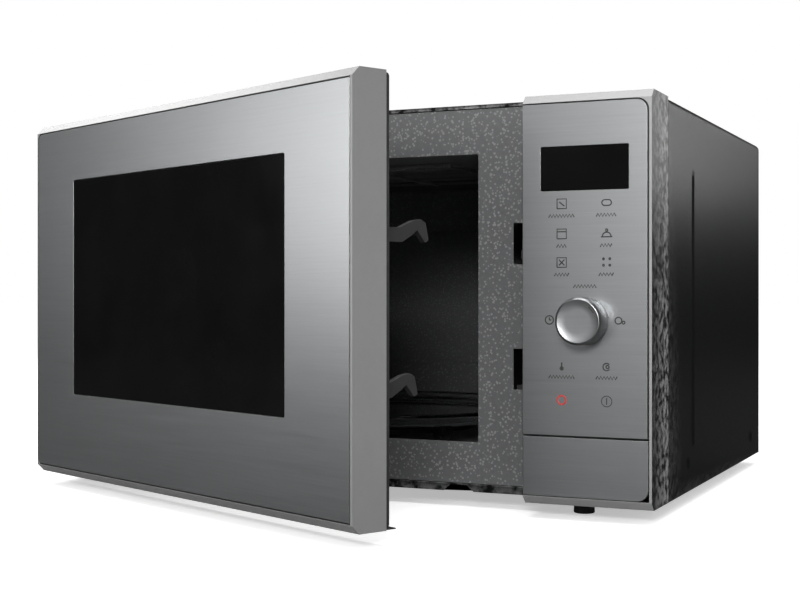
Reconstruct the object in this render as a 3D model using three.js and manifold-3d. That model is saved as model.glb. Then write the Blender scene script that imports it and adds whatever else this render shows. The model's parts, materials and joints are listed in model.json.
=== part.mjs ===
// Countertop microwave oven with a grill, a turntable, a dial and a push-to-open side-hinged door.
// Millimetres, +Z up. X runs from the case's left side to its right, Y from the front face of the
// closed door and the control panel to the back, Z from the underside of the case upwards.
// Every piece is its own named mesh. The door and all that it carries stand in a group that turns
// about the hinge axis. The last section moves the whole oven so that its origin is at the centre
// of the lowest plane that it stands on.

import * as THREE from "three";
import { mergeVertices } from "three/addons/utils/BufferGeometryUtils.js";
import Module from "manifold-3d";

// ---------------------------------------------------------------- driving dimensions

// The whole oven
const caseWidth = 488;
const caseDepth = 390;
const caseHeight = 274.5;
const caseCorner = 5;
const footHeight = 9.5;

// Materials and fits
const sheet = 0.8; // pressed steel
const moulding = 2.2; // plastic walls
const gap = 0.3; // between pieces that are fastened together
const play = 0.5; // between pieces that move past each other

// The front
const panelWidth = 88;
const panelDepth = 45;
const doorGap = 1.5; // between the door and the control panel
const doorSeal = 0.8; // from the closed door's rear face to the front edge of the steel case
const frontChamfer = 5.5; // along the top and the bottom of the door and the panel
const faceSheet = 1; // brushed sheets on the door and the panel
const faceCorner = 8; // radius of the panel sheet's outer corners

// The cooking space
const jamb = 41.7; // from the case's left side to the opening
const compartment = 131.3; // from the opening to the case's right side
const lipHeight = 36.5; // the opening's lower edge
const headHeight = 34.8; // from the opening's upper edge to the case's top
const floorHeight = 24;
const openingCorner = 1.2;
const cavityRearSpace = 40; // from the cooking space's rear wall to the back of the case
const linerFlange = 8;

// Turntable
const traySideSpace = 15;
const trayThickness = 4;
const trayRimHeight = 10;
const rollerRadius = 7.5;
const rollerWidth = 8;
const rollerInset = 47; // from the tray's edge to the rollers
const rollers = 3;
const axleRadius = 1.8;
const lobes = 3; // of the coupler

// Door
const doorThickness = 29.2;
const doorOpenAngle = 25; // degrees, as it stands
const hingeX = 6.3;
const hingeSetback = 6.2; // from the door's rear face forwards to its hinge axis
const hingeCorner = 6; // radius of the door's rear corner round its hinge axis
const hingePin = 2;
const hingeHeight = 12; // from the top and from the bottom to the hinge tongues
const chokeDepth = 2.9; // how far the black choke cover stands behind the door's outer frame
const windowLeft = 59.7;
const windowRight = 66.8;
const windowBottom = 64.2;
const windowTop = 46.2;
const glassThickness = 2.1;
const glassSet = 0.15; // how far the glass stands behind the sheet round it
const windowCorner = 1.5;
const doorCorner = 5; // radius of the door sheet's left corners
const tongueThickness = 1.5;
const tongueHalf = 3.6;
const pinLength = 8;

// Latch
const hookThickness = 4.5;
const hookSpacing = 94.5; // from the upper hook down to the lower one
const hookStagger = 9; // how much less the lower hook reaches
const hookRise = 172.5; // the upper hook's tip above the underside
const hookLength = 38.3; // the upper hook, from the door's rear face
const latchTravel = 3;
const hookSetback = 11.75; // from the panel's left edge leftwards to the hooks
const slotWidth = 10.6;
const hookHeight = 14.5; // from a hook's tip to the top of its bend
const hookRoot = 9; // height of a hook's arm at the key bar
const latchPlate = 2.5; // thickness of the latch housing
const leverTube = 4;
const leverLift = 2.1; // how far the lever's finger rises as the button goes in
const keySpring = 14;

// Controls
const displayMargin = 12.8; // from the panel's left edge
const displayHeight = 29.5;
const displayTop = 35.4; // from the case's top
const dialRadius = 15.6;
const dialDepth = 17.5;
const dialHeight = 123.2;
const shaftRadius = 3;
const buttonTop = 46;
const buttonTravel = 4;
const buttonWall = 2.5;
const springRadius = 4;
const springZ = 24;
const springSeat = 27;
const toeArm = 26; // from the release lever's pivot down to its toe

const faceMargin = 1.8; // from the panel's sheet to the case's right side
const displayMarginRight = 15.4;

// Under and behind
const baseHeight = 6;
const footRadius = 7.5;
const footInset = 40; // from the left side, the right side and the back
const footSetback = 10; // of the front feet, from the case's front edge
const footNeck = 3;
const screwRadius = 1.7;
const screwInset = 20;
const fanRadius = 40;
const fanHeight = 88;
const glandNeck = 6;
const glandHeight = 26;
const board = 1.6; // thickness of the printed boards

// Behind the cooking space's walls
const inletZ = 145;
const inletHalf = { y: 40, z: 38 };
const guideDepth = 34;
const antennaRadius = 8.5;
const grillTubeRadius = 5;

// ---------------------------------------------------------------- derived places

const frontPlane = doorThickness + doorSeal;
const hingeY = doorThickness - hingeSetback;
const sideWallDepth = doorThickness - chokeDepth;
const hookReach = doorThickness + hookLength;
const panelLeft = caseWidth - panelWidth;
const panelMiddle = panelLeft + panelWidth / 2 - 0.5;
const doorWidth = panelLeft - doorGap;
const hookLine = panelLeft - hookSetback;

const opening = {
  left: jamb,
  right: caseWidth - compartment,
  bottom: lipHeight,
  top: caseHeight - headHeight,
};
const cavity = {
  front: frontPlane + 2 * gap + sheet,
  rear: caseDepth - cavityRearSpace,
  floor: floorHeight,
  ceiling: opening.top,
};
const tableX = (opening.left + opening.right) / 2;
const tableY = (cavity.front + cavity.rear) / 2;
const trayRadius =
  Math.min(opening.right - opening.left, cavity.rear - cavity.front) / 2 - traySideSpace;
const rollerTrack = trayRadius - rollerInset;
const rollerZ = cavity.floor + gap + rollerRadius;
const trayBottom = rollerZ + rollerRadius + gap;

const backOuter = caseDepth - sheet - gap;
const backInner = backOuter - sheet;
const frontPlateRight = panelLeft + 12;
const frontPlateTop = caseHeight - 3;
const latchPlateX = hookLine + 7.75;
const panFloor = baseHeight + sheet + gap;

const screwPlaces = [
  ["case_screw_left", screwInset],
  ["case_screw_right", caseWidth - screwInset],
];
const screwHeight = caseHeight - 6.5;
const footRight = caseWidth - footInset - 17;
const footPlaces = [
  ["foot_front_left", footInset, frontPlane + footSetback],
  ["foot_front_right", footRight, frontPlane + footSetback],
  ["foot_rear_left", footInset, caseDepth - footInset],
  ["foot_rear_right", footRight, caseDepth - footInset],
];

const fanX = caseWidth - 64;
const fanCentre = [fanX, fanHeight];
const fanPlate = [backInner - 30, backInner - 28];
const fanSpan = [backInner - 26, backInner - 10];
const glandX = caseWidth - 70;
const boardX = [opening.right + 36, caseWidth - 12];
const inverterY = [104, 104 + 150];
const inverterZ = baseHeight + sheet + 7;

const inletY = tableY - 3;
const magnetronZ = inletZ + 30;
const guideOuter = opening.right + guideDepth;
const lampY = cavity.rear - 58;
const lampZ = cavity.ceiling - 42;
const grillX = [opening.left + 48, opening.right - 48];
const grillY = [90, 90 + 150];
const grillTubeZ = cavity.ceiling + 11;
const grillTubes = [
  ["grill_tube_front", grillY[0] + 42],
  ["grill_tube_rear", grillY[1] - 42],
];

const hingeAxis = [hingeX, hingeY];
const tongueLevels = [caseHeight - hingeHeight, hingeHeight - tongueThickness];
const doorFront = 3.3; // from the sheet's face to the front of the door's hollow
const doorFace = {
  x: [1.2, doorWidth - 2],
  z: [frontChamfer + gap, caseHeight - frontChamfer - gap],
};
const windowSpan = {
  x: [windowLeft, doorWidth - windowRight],
  z: [windowBottom, caseHeight - windowTop],
};

const hooks = [
  [hookRise, 0],
  [hookRise - hookSpacing, hookStagger],
];
const latchSlots = [
  [hookRise - 10.8, hookRise + hookHeight + latchTravel + play],
  [hookRise - hookSpacing - 3.5, hookRise - hookSpacing + hookHeight + latchTravel + 7.4],
];
const keyTop = hookRise + 30;
const keyBar = [sideWallDepth - 7.3, sideWallDepth - 1.5];
const leverPivot = [frontPlane + 16, 62];
const toeX = [frontPlateRight + 3, frontPlateRight + 11];

const faceRight = caseWidth - faceMargin;
const recess = faceSheet + 3 * gap; // depth of the panel's seat for its sheet and glass
const dialCentre = [panelMiddle, dialHeight];
const display = {
  x: [panelLeft + displayMargin, caseWidth - displayMarginRight],
  z: [caseHeight - displayTop - displayHeight, caseHeight - displayTop],
};
const controlBoardY = [18, 18 + board];
const springX = panelMiddle + 22;

// A span grown at both ends, and a span round its middle.
const grown = ([low, high], by) => [low - by, high + by];
const around = (middle, half) => [middle - half, middle + half];

// ---------------------------------------------------------------- finishes

const finish = (color, roughness, metalness, extra = {}) =>
  new THREE.MeshStandardMaterial({ color, roughness, metalness, ...extra });

const brushedSteel = finish(0xa6a6aa, 0.35, 0.9);
const silverMoulding = finish(0x8c8c90, 0.45, 0.2);
const charcoalPaint = finish(0x2e2e32, 0.45, 0.3);
const cavityEnamel = finish(0x55555a, 0.6, 0.2);
const zincSteel = finish(0x9a9c9e, 0.4, 0.9);
const blackMoulding = finish(0x101012, 0.5, 0);
const blackGlass = finish(0x08080a, 0.08, 0);
const clearGlass = finish(0xc8d4d4, 0.05, 0, { transparent: true, opacity: 0.4 });
const quartz = finish(0xe6e2da, 0.3, 0);
const mica = finish(0xb8a684, 0.6, 0);
const boardGreen = finish(0x2f5b36, 0.6, 0);
const darkRubber = finish(0x141414, 0.85, 0);
const copperEnamel = finish(0x7a4a2a, 0.5, 0.4);
const film = finish(0x6c6c70, 0.4, 0.1);

// ---------------------------------------------------------------- solids

const wasm = await Module();
wasm.setup();

// A closed geometry as a solid, turned right side out where its outline ran the other way.
function solid(geometry) {
  const bare = geometry.clone();
  bare.deleteAttribute("normal");
  bare.deleteAttribute("uv");
  const merged = mergeVertices(bare, 1e-4);
  const vertProperties = merged.attributes.position.array;
  const triVerts = new Uint32Array(merged.index.array);
  const made = new wasm.Manifold(new wasm.Mesh({ numProp: 3, vertProperties, triVerts }));
  if (made.volume() >= 0) return made;
  triVerts.reverse();
  return new wasm.Manifold(new wasm.Mesh({ numProp: 3, vertProperties, triVerts }));
}

const join = (first, ...rest) => rest.reduce((whole, piece) => whole.add(piece), first);
const cut = (first, ...rest) => rest.reduce((whole, piece) => whole.subtract(piece), first);

const box = ([x0, x1], [y0, y1], [z0, z1]) =>
  solid(
    new THREE.BoxGeometry(x1 - x0, y1 - y0, z1 - z0).translate(
      (x0 + x1) / 2,
      (y0 + y1) / 2,
      (z0 + z1) / 2,
    ),
  );

// Turns a geometry's own Z axis (for prisms) or Y axis (for rods and turned pieces) to X, Y or Z.
const alongX = new THREE.Matrix4().makeBasis(
  new THREE.Vector3(0, 1, 0),
  new THREE.Vector3(0, 0, 1),
  new THREE.Vector3(1, 0, 0),
);
const alongY = new THREE.Matrix4().makeRotationX(Math.PI / 2);
const rodTurn = {
  x: new THREE.Matrix4().makeRotationZ(-Math.PI / 2),
  y: new THREE.Matrix4(),
  z: new THREE.Matrix4().makeRotationX(Math.PI / 2),
};

// A round bar along one axis. centre gives the other two coordinates, in X, Y, Z order.
function rod(axis, centre, [from, to], radius, endRadius = radius, sides = 16) {
  const geometry = new THREE.CylinderGeometry(endRadius, radius, to - from, sides);
  geometry.applyMatrix4(rodTurn[axis]);
  const middle = (from + to) / 2;
  const place = {
    x: [middle, centre[0], centre[1]],
    y: [centre[0], middle, centre[1]],
    z: [centre[0], centre[1], middle],
  }[axis];
  return solid(geometry.translate(...place));
}

// A flat outline given thickness: "xy" outlines rise along Z, "xz" ones run along Y and "yz"
// ones along X, from and to being places on that third axis.
function prism(shape, plane, from, to, curveSegments = 3) {
  const settings = { depth: to - from, bevelEnabled: false, curveSegments };
  const geometry = new THREE.ExtrudeGeometry(shape, settings);
  if (plane === "xy") return solid(geometry.translate(0, 0, from));
  if (plane === "xz") return solid(geometry.applyMatrix4(alongY).translate(0, to, 0));
  return solid(geometry.applyMatrix4(alongX).translate(from, 0, 0));
}

// An outline turned about the vertical axis through (x, y); its points are [radius, height].
function turned(points, x, y, segments = 36) {
  const profile = points.map(([r, z]) => new THREE.Vector2(r, z));
  const geometry = new THREE.LatheGeometry(profile, segments);
  return solid(geometry.applyMatrix4(alongY).translate(x, y, 0));
}

const outline = (points) => new THREE.Shape(points.map(([a, b]) => new THREE.Vector2(a, b)));

// A rectangle whose corners have radii, in the order low left, low right, top right, top left.
function roundedRect([a0, a1], [b0, b1], [lowLeft, lowRight, topRight, topLeft]) {
  const shape = new THREE.Shape();
  shape.moveTo(a0 + lowLeft, b0);
  shape.lineTo(a1 - lowRight, b0);
  if (lowRight) shape.absarc(a1 - lowRight, b0 + lowRight, lowRight, -Math.PI / 2, 0);
  shape.lineTo(a1, b1 - topRight);
  if (topRight) shape.absarc(a1 - topRight, b1 - topRight, topRight, 0, Math.PI / 2);
  shape.lineTo(a0 + topLeft, b1);
  if (topLeft) shape.absarc(a0 + topLeft, b1 - topLeft, topLeft, Math.PI / 2, Math.PI);
  shape.lineTo(a0, b0 + lowLeft);
  if (lowLeft) shape.absarc(a0 + lowLeft, b0 + lowLeft, lowLeft, Math.PI, 1.5 * Math.PI);
  return shape;
}

const rounded = (radius) => [radius, radius, radius, radius];

// The side view that the door and the panel share, inset from the oven's top and bottom: two
// chamfers at the front.
const bevelled = (front, rear, inset, chamfer) =>
  outline([
    [front + chamfer, inset],
    [rear, inset],
    [rear, caseHeight - inset],
    [front + chamfer, caseHeight - inset],
    [front, caseHeight - inset - chamfer],
    [front, inset + chamfer],
  ]);

// A field pressed into a sheet: stamp is the tool's shape, and the sheet follows it one sheet
// further along push.
const press = (wall, stamp, push) => cut(join(wall, stamp.translate(push)), stamp);

// A stamp whose four or more sides slope, from a wide mouth to a narrower floor.
function slopedStamp(halfA, halfB, depth, slope, turn) {
  const settings = {
    depth: depth,
    bevelEnabled: true,
    bevelThickness: depth,
    bevelSize: slope,
    bevelOffset: -slope,
    bevelSegments: 1,
    curveSegments: 1,
  };
  const corner = 2 * slope;
  const shape = roundedRect([-halfA, halfA], [-halfB, halfB], rounded(corner));
  return solid(new THREE.ExtrudeGeometry(shape, settings).applyMatrix4(turn));
}

// A coil spring along Z from z0 to z1.
class Helix extends THREE.Curve {
  constructor(centre, radius, [z0, z1], turns) {
    super();
    Object.assign(this, { centre, radius, z0, z1, turns });
  }
  getPoint(t, target = new THREE.Vector3()) {
    const angle = 2 * Math.PI * this.turns * t;
    return target.set(
      this.centre[0] + this.radius * Math.cos(angle),
      this.centre[1] + this.radius * Math.sin(angle),
      this.z0 + (this.z1 - this.z0) * t,
    );
  }
}

function coil(centre, radius, span, turns, wire) {
  const section = new THREE.Shape();
  section.absarc(0, 0, wire, 0, 2 * Math.PI);
  return new THREE.ExtrudeGeometry(section, {
    steps: turns * 6,
    curveSegments: 3,
    bevelEnabled: false,
    extrudePath: new Helix(centre, radius, span, turns),
  });
}

// A solid as a named mesh.
function piece(name, made, material) {
  const { vertProperties, triVerts } = made.getMesh();
  const geometry = new THREE.BufferGeometry();
  geometry.setAttribute("position", new THREE.BufferAttribute(vertProperties, 3));
  geometry.setIndex(new THREE.BufferAttribute(triVerts, 1));
  geometry.computeVertexNormals();
  const mesh = new THREE.Mesh(geometry, material);
  mesh.name = name;
  return mesh;
}

// ---------------------------------------------------------------- case

function outerCase() {
  const flange = 13;
  const hem = 2.5;
  const outside = roundedRect([0, caseWidth], [0, caseHeight], [0, 0, caseCorner, caseCorner]);
  const inner = caseCorner - sheet;
  const inside = roundedRect(
    [sheet, caseWidth - sheet],
    [-1, caseHeight - sheet],
    [0, 0, inner, inner],
  );
  const rearWindow = [
    [flange, caseWidth - flange],
    [-1, caseHeight - flange],
  ];
  let shell = cut(
    prism(outside, "xz", frontPlane, caseDepth),
    prism(inside, "xz", frontPlane - 1, caseDepth - sheet),
    prism(roundedRect(...rearWindow, rounded(0)), "xz", frontPlane, caseDepth + 1),
  );
  const hemStrip = box(
    [caseCorner, panelLeft - gap],
    [frontPlane, frontPlane + sheet],
    [caseHeight - hem, caseHeight - sheet / 2],
  );
  // The control panel's housing takes the case's right front corner.
  const panelNotch = box(
    [panelLeft - gap, caseWidth + 1],
    [0, panelDepth + gap],
    [-1, caseHeight + 1],
  );
  shell = join(cut(shell, panelNotch), hemStrip);

  // A shallow field and two dimples are pressed into each side.
  const field = { front: 117.6, rear: caseDepth - 18, bottom: 29, top: caseHeight - 41.5 };
  const pressing = 1.2;
  const slope = 3;
  const dimpleRadius = 6;
  const dimpleProfile = [
    [0, -2],
    [dimpleRadius, -2],
    [dimpleRadius, 0],
    [dimpleRadius - slope, pressing],
    [0, pressing],
  ];
  const halfY = (field.rear - field.front) / 2;
  const halfZ = (field.top - field.bottom) / 2;
  const dimples = [
    [104.8, 19.8],
    [caseDepth - 39, 17.5],
  ];
  for (const side of [0, caseWidth]) {
    const inwards = side ? -1 : 1;
    const stamp = slopedStamp(halfY, halfZ, pressing, slope, alongX).translate([
      side - ((1 + inwards) * pressing) / 2,
      field.front + halfY,
      field.bottom + halfZ,
    ]);
    const push = [inwards * sheet, 0, 0];
    shell = press(shell, stamp, push);
    for (const [y, z] of dimples) {
      const dimple = turned(dimpleProfile, 0, 0, 14).rotate([0, inwards * 90, 0]);
      shell = press(shell, dimple.translate([side, y, z]), push);
    }
  }

  // Air leaves through slots at the upper rear of the left side.
  const vent = { rows: 2, columns: 9, stepY: 9, stepZ: 30, width: 3.5, height: 22, inset: 20 };
  for (let row = 0; row < vent.rows; row++) {
    for (let column = 0; column < vent.columns; column++) {
      const y = field.rear - vent.inset - column * vent.stepY;
      const z = field.top - vent.inset - row * vent.stepZ;
      shell = cut(shell, box([-1, caseCorner], [y - vent.width, y], [z - vent.height, z]));
    }
  }
  const holes = screwPlaces.map(([, x]) =>
    rod("y", [x, screwHeight], [caseDepth - 2, caseDepth + 1], screwRadius + gap),
  );
  return piece("outer_case", cut(shell, ...holes), charcoalPaint);
}

function backPlate() {
  const face = roundedRect(
    [sheet + gap, caseWidth - sheet - gap],
    [panFloor, caseHeight - sheet - gap],
    [0, 0, caseCorner, caseCorner],
  );
  const through = [backInner - 1, backOuter + 1];
  const cuts = screwPlaces.map(([, x]) =>
    rod("y", [x, screwHeight], through, screwRadius + gap),
  );
  // Fan intake: rows of slots inside the fan's circle.
  const step = 9;
  const halfSlot = 2.5;
  for (let z = step - fanRadius; z < fanRadius; z += step) {
    const half = Math.sqrt((fanRadius - 3) ** 2 - z ** 2);
    const middle = fanHeight + z;
    cuts.push(box([fanX - half, fanX + half], through, [middle - halfSlot, middle + halfSlot]));
  }
  // Outlet for the cooking space's air.
  const outlet = { slots: 10, left: 60, width: 4, bottom: opening.top - 40, top: opening.top - 5 };
  for (let column = 0; column < outlet.slots; column++) {
    const x = outlet.left + column * step;
    cuts.push(box([x, x + outlet.width], through, [outlet.bottom, outlet.top]));
  }
  cuts.push(rod("y", [glandX, glandHeight], through, glandNeck + gap));
  const plate = prism(face, "xz", backInner, backOuter);
  return piece("back_plate", cut(plate, ...cuts), charcoalPaint);
}

function basePlate() {
  const left = sheet + gap;
  const right = caseWidth - sheet - gap;
  const front = frontPlane + gap;
  const rear = backInner - gap;
  const flangeTop = baseHeight + 5;
  const flangeFront = front + 2 * (sheet + gap);
  const lipBottom = 1.2;
  const arch = { centre: opening.right - 15, foot: 13, crown: 6, height: baseHeight - 0.3 };
  const archShape = outline([
    [arch.centre - arch.foot, 0],
    [arch.centre + arch.foot, 0],
    [arch.centre + arch.crown, arch.height],
    [arch.centre - arch.crown, arch.height],
  ]);
  const floor = join(
    box([left, right], [front, rear], [baseHeight, baseHeight + sheet]),
    box([left, left + sheet], [flangeFront, rear], [baseHeight, flangeTop]),
    box([right - sheet, right], [flangeFront, rear], [baseHeight, flangeTop]),
    box([left, right], [front, front + sheet], [lipBottom, baseHeight + sheet]),
  );
  const housing = box(
    [caseWidth - moulding - gap, caseWidth],
    [front - 1, panelDepth + gap],
    [-1, flangeTop + 1],
  );
  const cuts = [housing, prism(archShape, "xz", front - 1, front + sheet + 1)];
  const through = [baseHeight - 1, baseHeight + 2];
  for (const [, x, y] of footPlaces) {
    cuts.push(rod("z", [x, y], through, footNeck + gap));
  }
  // Air slots under the electronics.
  const vent = { rows: 6, front: 130, step: 10, width: 4 };
  for (let row = 0; row < vent.rows; row++) {
    const y = vent.front + row * vent.step;
    cuts.push(box([opening.right + 50, caseWidth - 24], [y, y + vent.width], through));
  }
  return piece("base_plate", cut(floor, ...cuts), charcoalPaint);
}

// A foot is turned in one piece: a bell below the base plate, and a neck and a snap head above it.
function foot(name, x, y) {
  const top = baseHeight - gap;
  const headBottom = panFloor;
  const profile = [
    [0, -footHeight],
    [footRadius - 0.8, -footHeight],
    [footRadius, -footHeight + 1],
    [footRadius - 1.5, -footHeight + 6],
    [footRadius - 2.5, top],
    [footNeck, top],
    [footNeck, headBottom],
    [footNeck + 1.2, headBottom],
    [footNeck - 0.6, headBottom + 3],
    [0, headBottom + 3],
  ];
  return piece(name, turned(profile, x, y, 16), darkRubber);
}

function caseScrew(name, x) {
  const shank = 8;
  const head = { radius: 3.8, height: 2.4, bevel: 0.8 };
  const cross = { arm: 2.2, half: 0.4, floor: 1.4 };
  const centre = [x, screwHeight];
  const made = join(
    rod("y", centre, [caseDepth - shank, caseDepth + 1], screwRadius, screwRadius, 12),
    rod(
      "y",
      centre,
      [caseDepth + gap, caseDepth + head.height],
      head.radius,
      head.radius - head.bevel,
      20,
    ),
  );
  const slot = (a, b) =>
    box(
      [x - a, x + a],
      [caseDepth + cross.floor, caseDepth + head.height + 1],
      [screwHeight - b, screwHeight + b],
    );
  const slots = [slot(cross.arm, cross.half), slot(cross.half, cross.arm)];
  return piece(name, cut(made, ...slots), zincSteel);
}

// The bush that the mains lead leaves through: a collar outside, a neck through the back plate
// and a collar inside, bored for the lead.
function cordGland() {
  const collar = glandNeck + 3;
  const taper = 1.5;
  const length = 5; // on either side of the back plate
  const lead = 3.6; // radius of the bore
  const [front, rear] = [backInner - length, backOuter + length];
  const centre = [glandX, glandHeight];
  const made = join(
    rod("y", centre, [front, rear], glandNeck),
    rod("y", centre, [backOuter + gap, rear], collar, collar - taper),
    rod("y", centre, [front, backInner - gap], collar - taper, collar),
  );
  const bore = rod("y", centre, [front - 1, rear + 1], lead);
  return piece("cord_gland", cut(made, bore), blackMoulding);
}

// ---------------------------------------------------------------- cooking space

function frontPlate() {
  const y = [frontPlane + gap, frontPlane + gap + sheet];
  const through = [y[0] - 1, y[1] + 1];
  const cookingOpening = roundedRect(
    [opening.left, opening.right],
    [opening.bottom, opening.top],
    rounded(openingCorner),
  );
  const cuts = [prism(cookingOpening, "xz", ...through)];
  for (const [z0, z1] of latchSlots) {
    cuts.push(box([hookLine - slotWidth / 2, hookLine + slotWidth / 2 + 1], through, [z0, z1]));
  }
  for (const z of tongueLevels) {
    cuts.push(box([0, hingeX + tongueHalf + play], through, [z - 2, z + tongueThickness + 2]));
  }
  const bottom = panFloor;
  const face = roundedRect([sheet + gap, frontPlateRight], [bottom, frontPlateTop], [0, 0, 0, 3]);
  return piece("front_plate", cut(prism(face, "xz", ...y), ...cuts), cavityEnamel);
}

function cavityLiner() {
  const outer = {
    x: [opening.left - sheet, opening.right + sheet],
    y: [cavity.front, cavity.rear + sheet],
    z: [cavity.floor - sheet, cavity.ceiling + sheet],
  };
  let shell = cut(
    join(
      box(outer.x, outer.y, outer.z),
      box(
        [outer.x[0] - linerFlange, outer.x[1] + linerFlange],
        [cavity.front, cavity.front + sheet],
        [outer.z[0] - linerFlange, outer.z[1] + linerFlange],
      ),
    ),
    box(
      [opening.left, opening.right],
      [cavity.front - 1, cavity.rear],
      [cavity.floor, cavity.ceiling],
    ),
  );

  // A broad field is pressed outwards in the rear wall.
  const depth = 2.5;
  const halfX = (opening.right - opening.left) / 2 - 14;
  const halfZ = (opening.top - opening.bottom) * 0.31;
  const stamp = slopedStamp(halfX, halfZ, depth, depth + 0.5, alongY).translate([
    (opening.left + opening.right) / 2,
    cavity.rear,
    (opening.top + opening.bottom) / 2,
  ]);
  shell = press(shell, stamp, [0, sheet, 0]);

  const wall = [opening.right - 1, opening.right + 2];
  const shaftHole = 6;
  const cuts = [
    rod("z", [tableX, tableY], [cavity.floor - 2, cavity.floor + 1], shaftHole),
    box(wall, around(inletY, inletHalf.y - 4), around(inletZ, inletHalf.z - 6)),
    box(grillX, grillY, [cavity.ceiling - 1, cavity.ceiling + 2]),
  ];
  // Lamp light comes through a group of small holes at the rear of the right wall.
  const holes = { rows: 4, step: 8, radius: 2 };
  const start = ((holes.rows - 1) * holes.step) / 2;
  for (let row = 0; row < holes.rows; row++) {
    for (let column = 0; column < holes.rows; column++) {
      const place = [lampY - start + column * holes.step, lampZ - start + row * holes.step];
      cuts.push(rod("x", place, wall, holes.radius, holes.radius, 8));
    }
  }
  return piece("cavity_liner", cut(shell, ...cuts), cavityEnamel);
}

function waveguideCover() {
  const face = opening.right - gap;
  const thickness = 0.5;
  const overlap = { y: inletHalf.y + 6, z: inletHalf.z + 4 };
  const shape = roundedRect(around(inletY, overlap.y), around(inletZ, overlap.z), rounded(4));
  return piece("waveguide_cover", prism(shape, "yz", face - thickness, face, 3), mica);
}

function waveguide() {
  const wall = 1.2;
  const x = [opening.right + sheet + gap, guideOuter];
  const y = around(inletY, inletHalf.y);
  const z = [inletZ - inletHalf.z, inletZ + inletHalf.z + 20];
  const shell = cut(
    box(x, y, z),
    box([x[0] - 1, x[1] - wall], grown(y, -wall), grown(z, -wall)),
    rod("x", [inletY, magnetronZ], [x[1] - 3, x[1] + 1], antennaRadius + 3.5),
  );
  return piece("waveguide", shell, zincSteel);
}

// Antenna, mounting plate, a stack of cooling fins inside a bent yoke, and the filter box.
function magnetron() {
  const start = guideOuter + gap;
  const steel = 1.5;
  const end = start + 48;
  const barrel = 17;
  const centre = [inletY, magnetronZ];
  const y = around(inletY, 38);
  const z = around(magnetronZ, 32);
  const solids = [
    rod("x", centre, [start - 24, start + 2], antennaRadius),
    rod("x", centre, [start, end], barrel),
    box([start, start + steel], y, z),
    box([end, end + steel], y, z),
    box([start, end + steel], [y[0], y[0] + steel], z),
    box([start, end + steel], [y[1] - steel, y[1]], z),
    box([end, end + 20], around(inletY, 24), around(magnetronZ, 22)),
  ];
  const fins = { count: 4, first: 11, step: 8, thickness: 0.8 };
  for (let fin = 0; fin < fins.count; fin++) {
    const x = start + fins.first + fin * fins.step;
    solids.push(box([x, x + fins.thickness], y, around(magnetronZ, 26)));
  }
  return piece("magnetron", join(...solids), zincSteel);
}

function grillReflector() {
  const top = cavity.ceiling + 22;
  const bottom = cavity.ceiling + sheet + gap;
  const x = grown(grillX, 4);
  const y = grown(grillY, 4);
  const rim = 10;
  const shell = cut(
    join(
      box(x, y, [bottom, top]),
      box(grown(x, rim), grown(y, rim), [bottom, bottom + sheet]),
    ),
    box(grown(x, -sheet), grown(y, -sheet), [bottom - 1, top - sheet]),
    ...grillTubes.map(([, ty]) =>
      rod("x", [ty, grillTubeZ], [x[0] - 2, x[1] + 2], grillTubeRadius + play),
    ),
  );
  return piece("grill_reflector", shell, zincSteel);
}

function grillTube(name, y) {
  const ends = grown(grillX, 8);
  const cap = { radius: 6.5, length: 12 };
  const made = join(
    rod("x", [y, grillTubeZ], grown(ends, 8), grillTubeRadius),
    rod("x", [y, grillTubeZ], [ends[0] - cap.length, ends[0]], cap.radius),
    rod("x", [y, grillTubeZ], [ends[1], ends[1] + cap.length], cap.radius),
  );
  return piece(name, made, quartz);
}

// A welded wire guard below the grill's opening.
function grillGuard() {
  const wire = 1.2;
  const z = cavity.ceiling - gap - wire;
  const x = grown(grillX, 6);
  const y = grown(grillY, 6);
  const spaces = { x: 3, y: 4 };
  const wires = [];
  for (let i = 0; i <= spaces.y; i++) {
    wires.push(rod("x", [y[0] + ((y[1] - y[0]) * i) / spaces.y, z], x, wire, wire, 6));
  }
  for (let i = 0; i <= spaces.x; i++) {
    const across = x[0] + wire + ((x[1] - x[0] - 2 * wire) * i) / spaces.x;
    wires.push(rod("y", [across, z - wire], y, wire, wire, 6));
  }
  return piece("grill_guard", join(...wires), zincSteel);
}

function ovenLamp() {
  const wall = opening.right + sheet + gap;
  const bulb = 9;
  const cap = 7.5;
  const made = join(
    rod("x", [lampY, lampZ], [wall + 3, wall + 26], bulb, bulb, 20),
    rod("x", [lampY, lampZ], [wall + 24, wall + 42], cap, cap, 20),
    box([wall + 36, wall + 40], around(lampY, 14), around(lampZ, 16)),
  );
  return piece("oven_lamp", made, quartz);
}

function thermalCutout() {
  const wall = opening.right + sheet + gap;
  const [y, z] = [inletY - 62, cavity.ceiling - 30];
  const flange = 10;
  const body = { radius: 7, height: 9 };
  const tab = { length: 8, inner: 3, outer: 4, half: 2.5 };
  const tabX = [wall + body.height - 1, wall + body.height - 1 + tab.length];
  const made = join(
    rod("x", [y, z], [wall, wall + 2], flange, flange, 20),
    rod("x", [y, z], [wall, wall + body.height], body.radius, body.radius, 20),
    box(tabX, [y - tab.outer, y - tab.inner], around(z, tab.half)),
    box(tabX, [y + tab.inner, y + tab.outer], around(z, tab.half)),
  );
  return piece("thermal_cutout", made, blackMoulding);
}

// ---------------------------------------------------------------- turntable

function turntableMotor() {
  const top = cavity.floor - sheet - gap;
  const bottom = baseHeight + sheet + gap;
  const can = 24;
  const made = cut(
    join(
      rod("z", [tableX, tableY], [bottom, top], can, can, 32),
      box([tableX + can - 6, tableX + can + 12], around(tableY, 9), [bottom, top - 3]),
    ),
    rod("z", [tableX, tableY], [bottom + 3, top + 1], shaftRadius + play),
  );
  return piece("turntable_motor", made, zincSteel);
}

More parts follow.
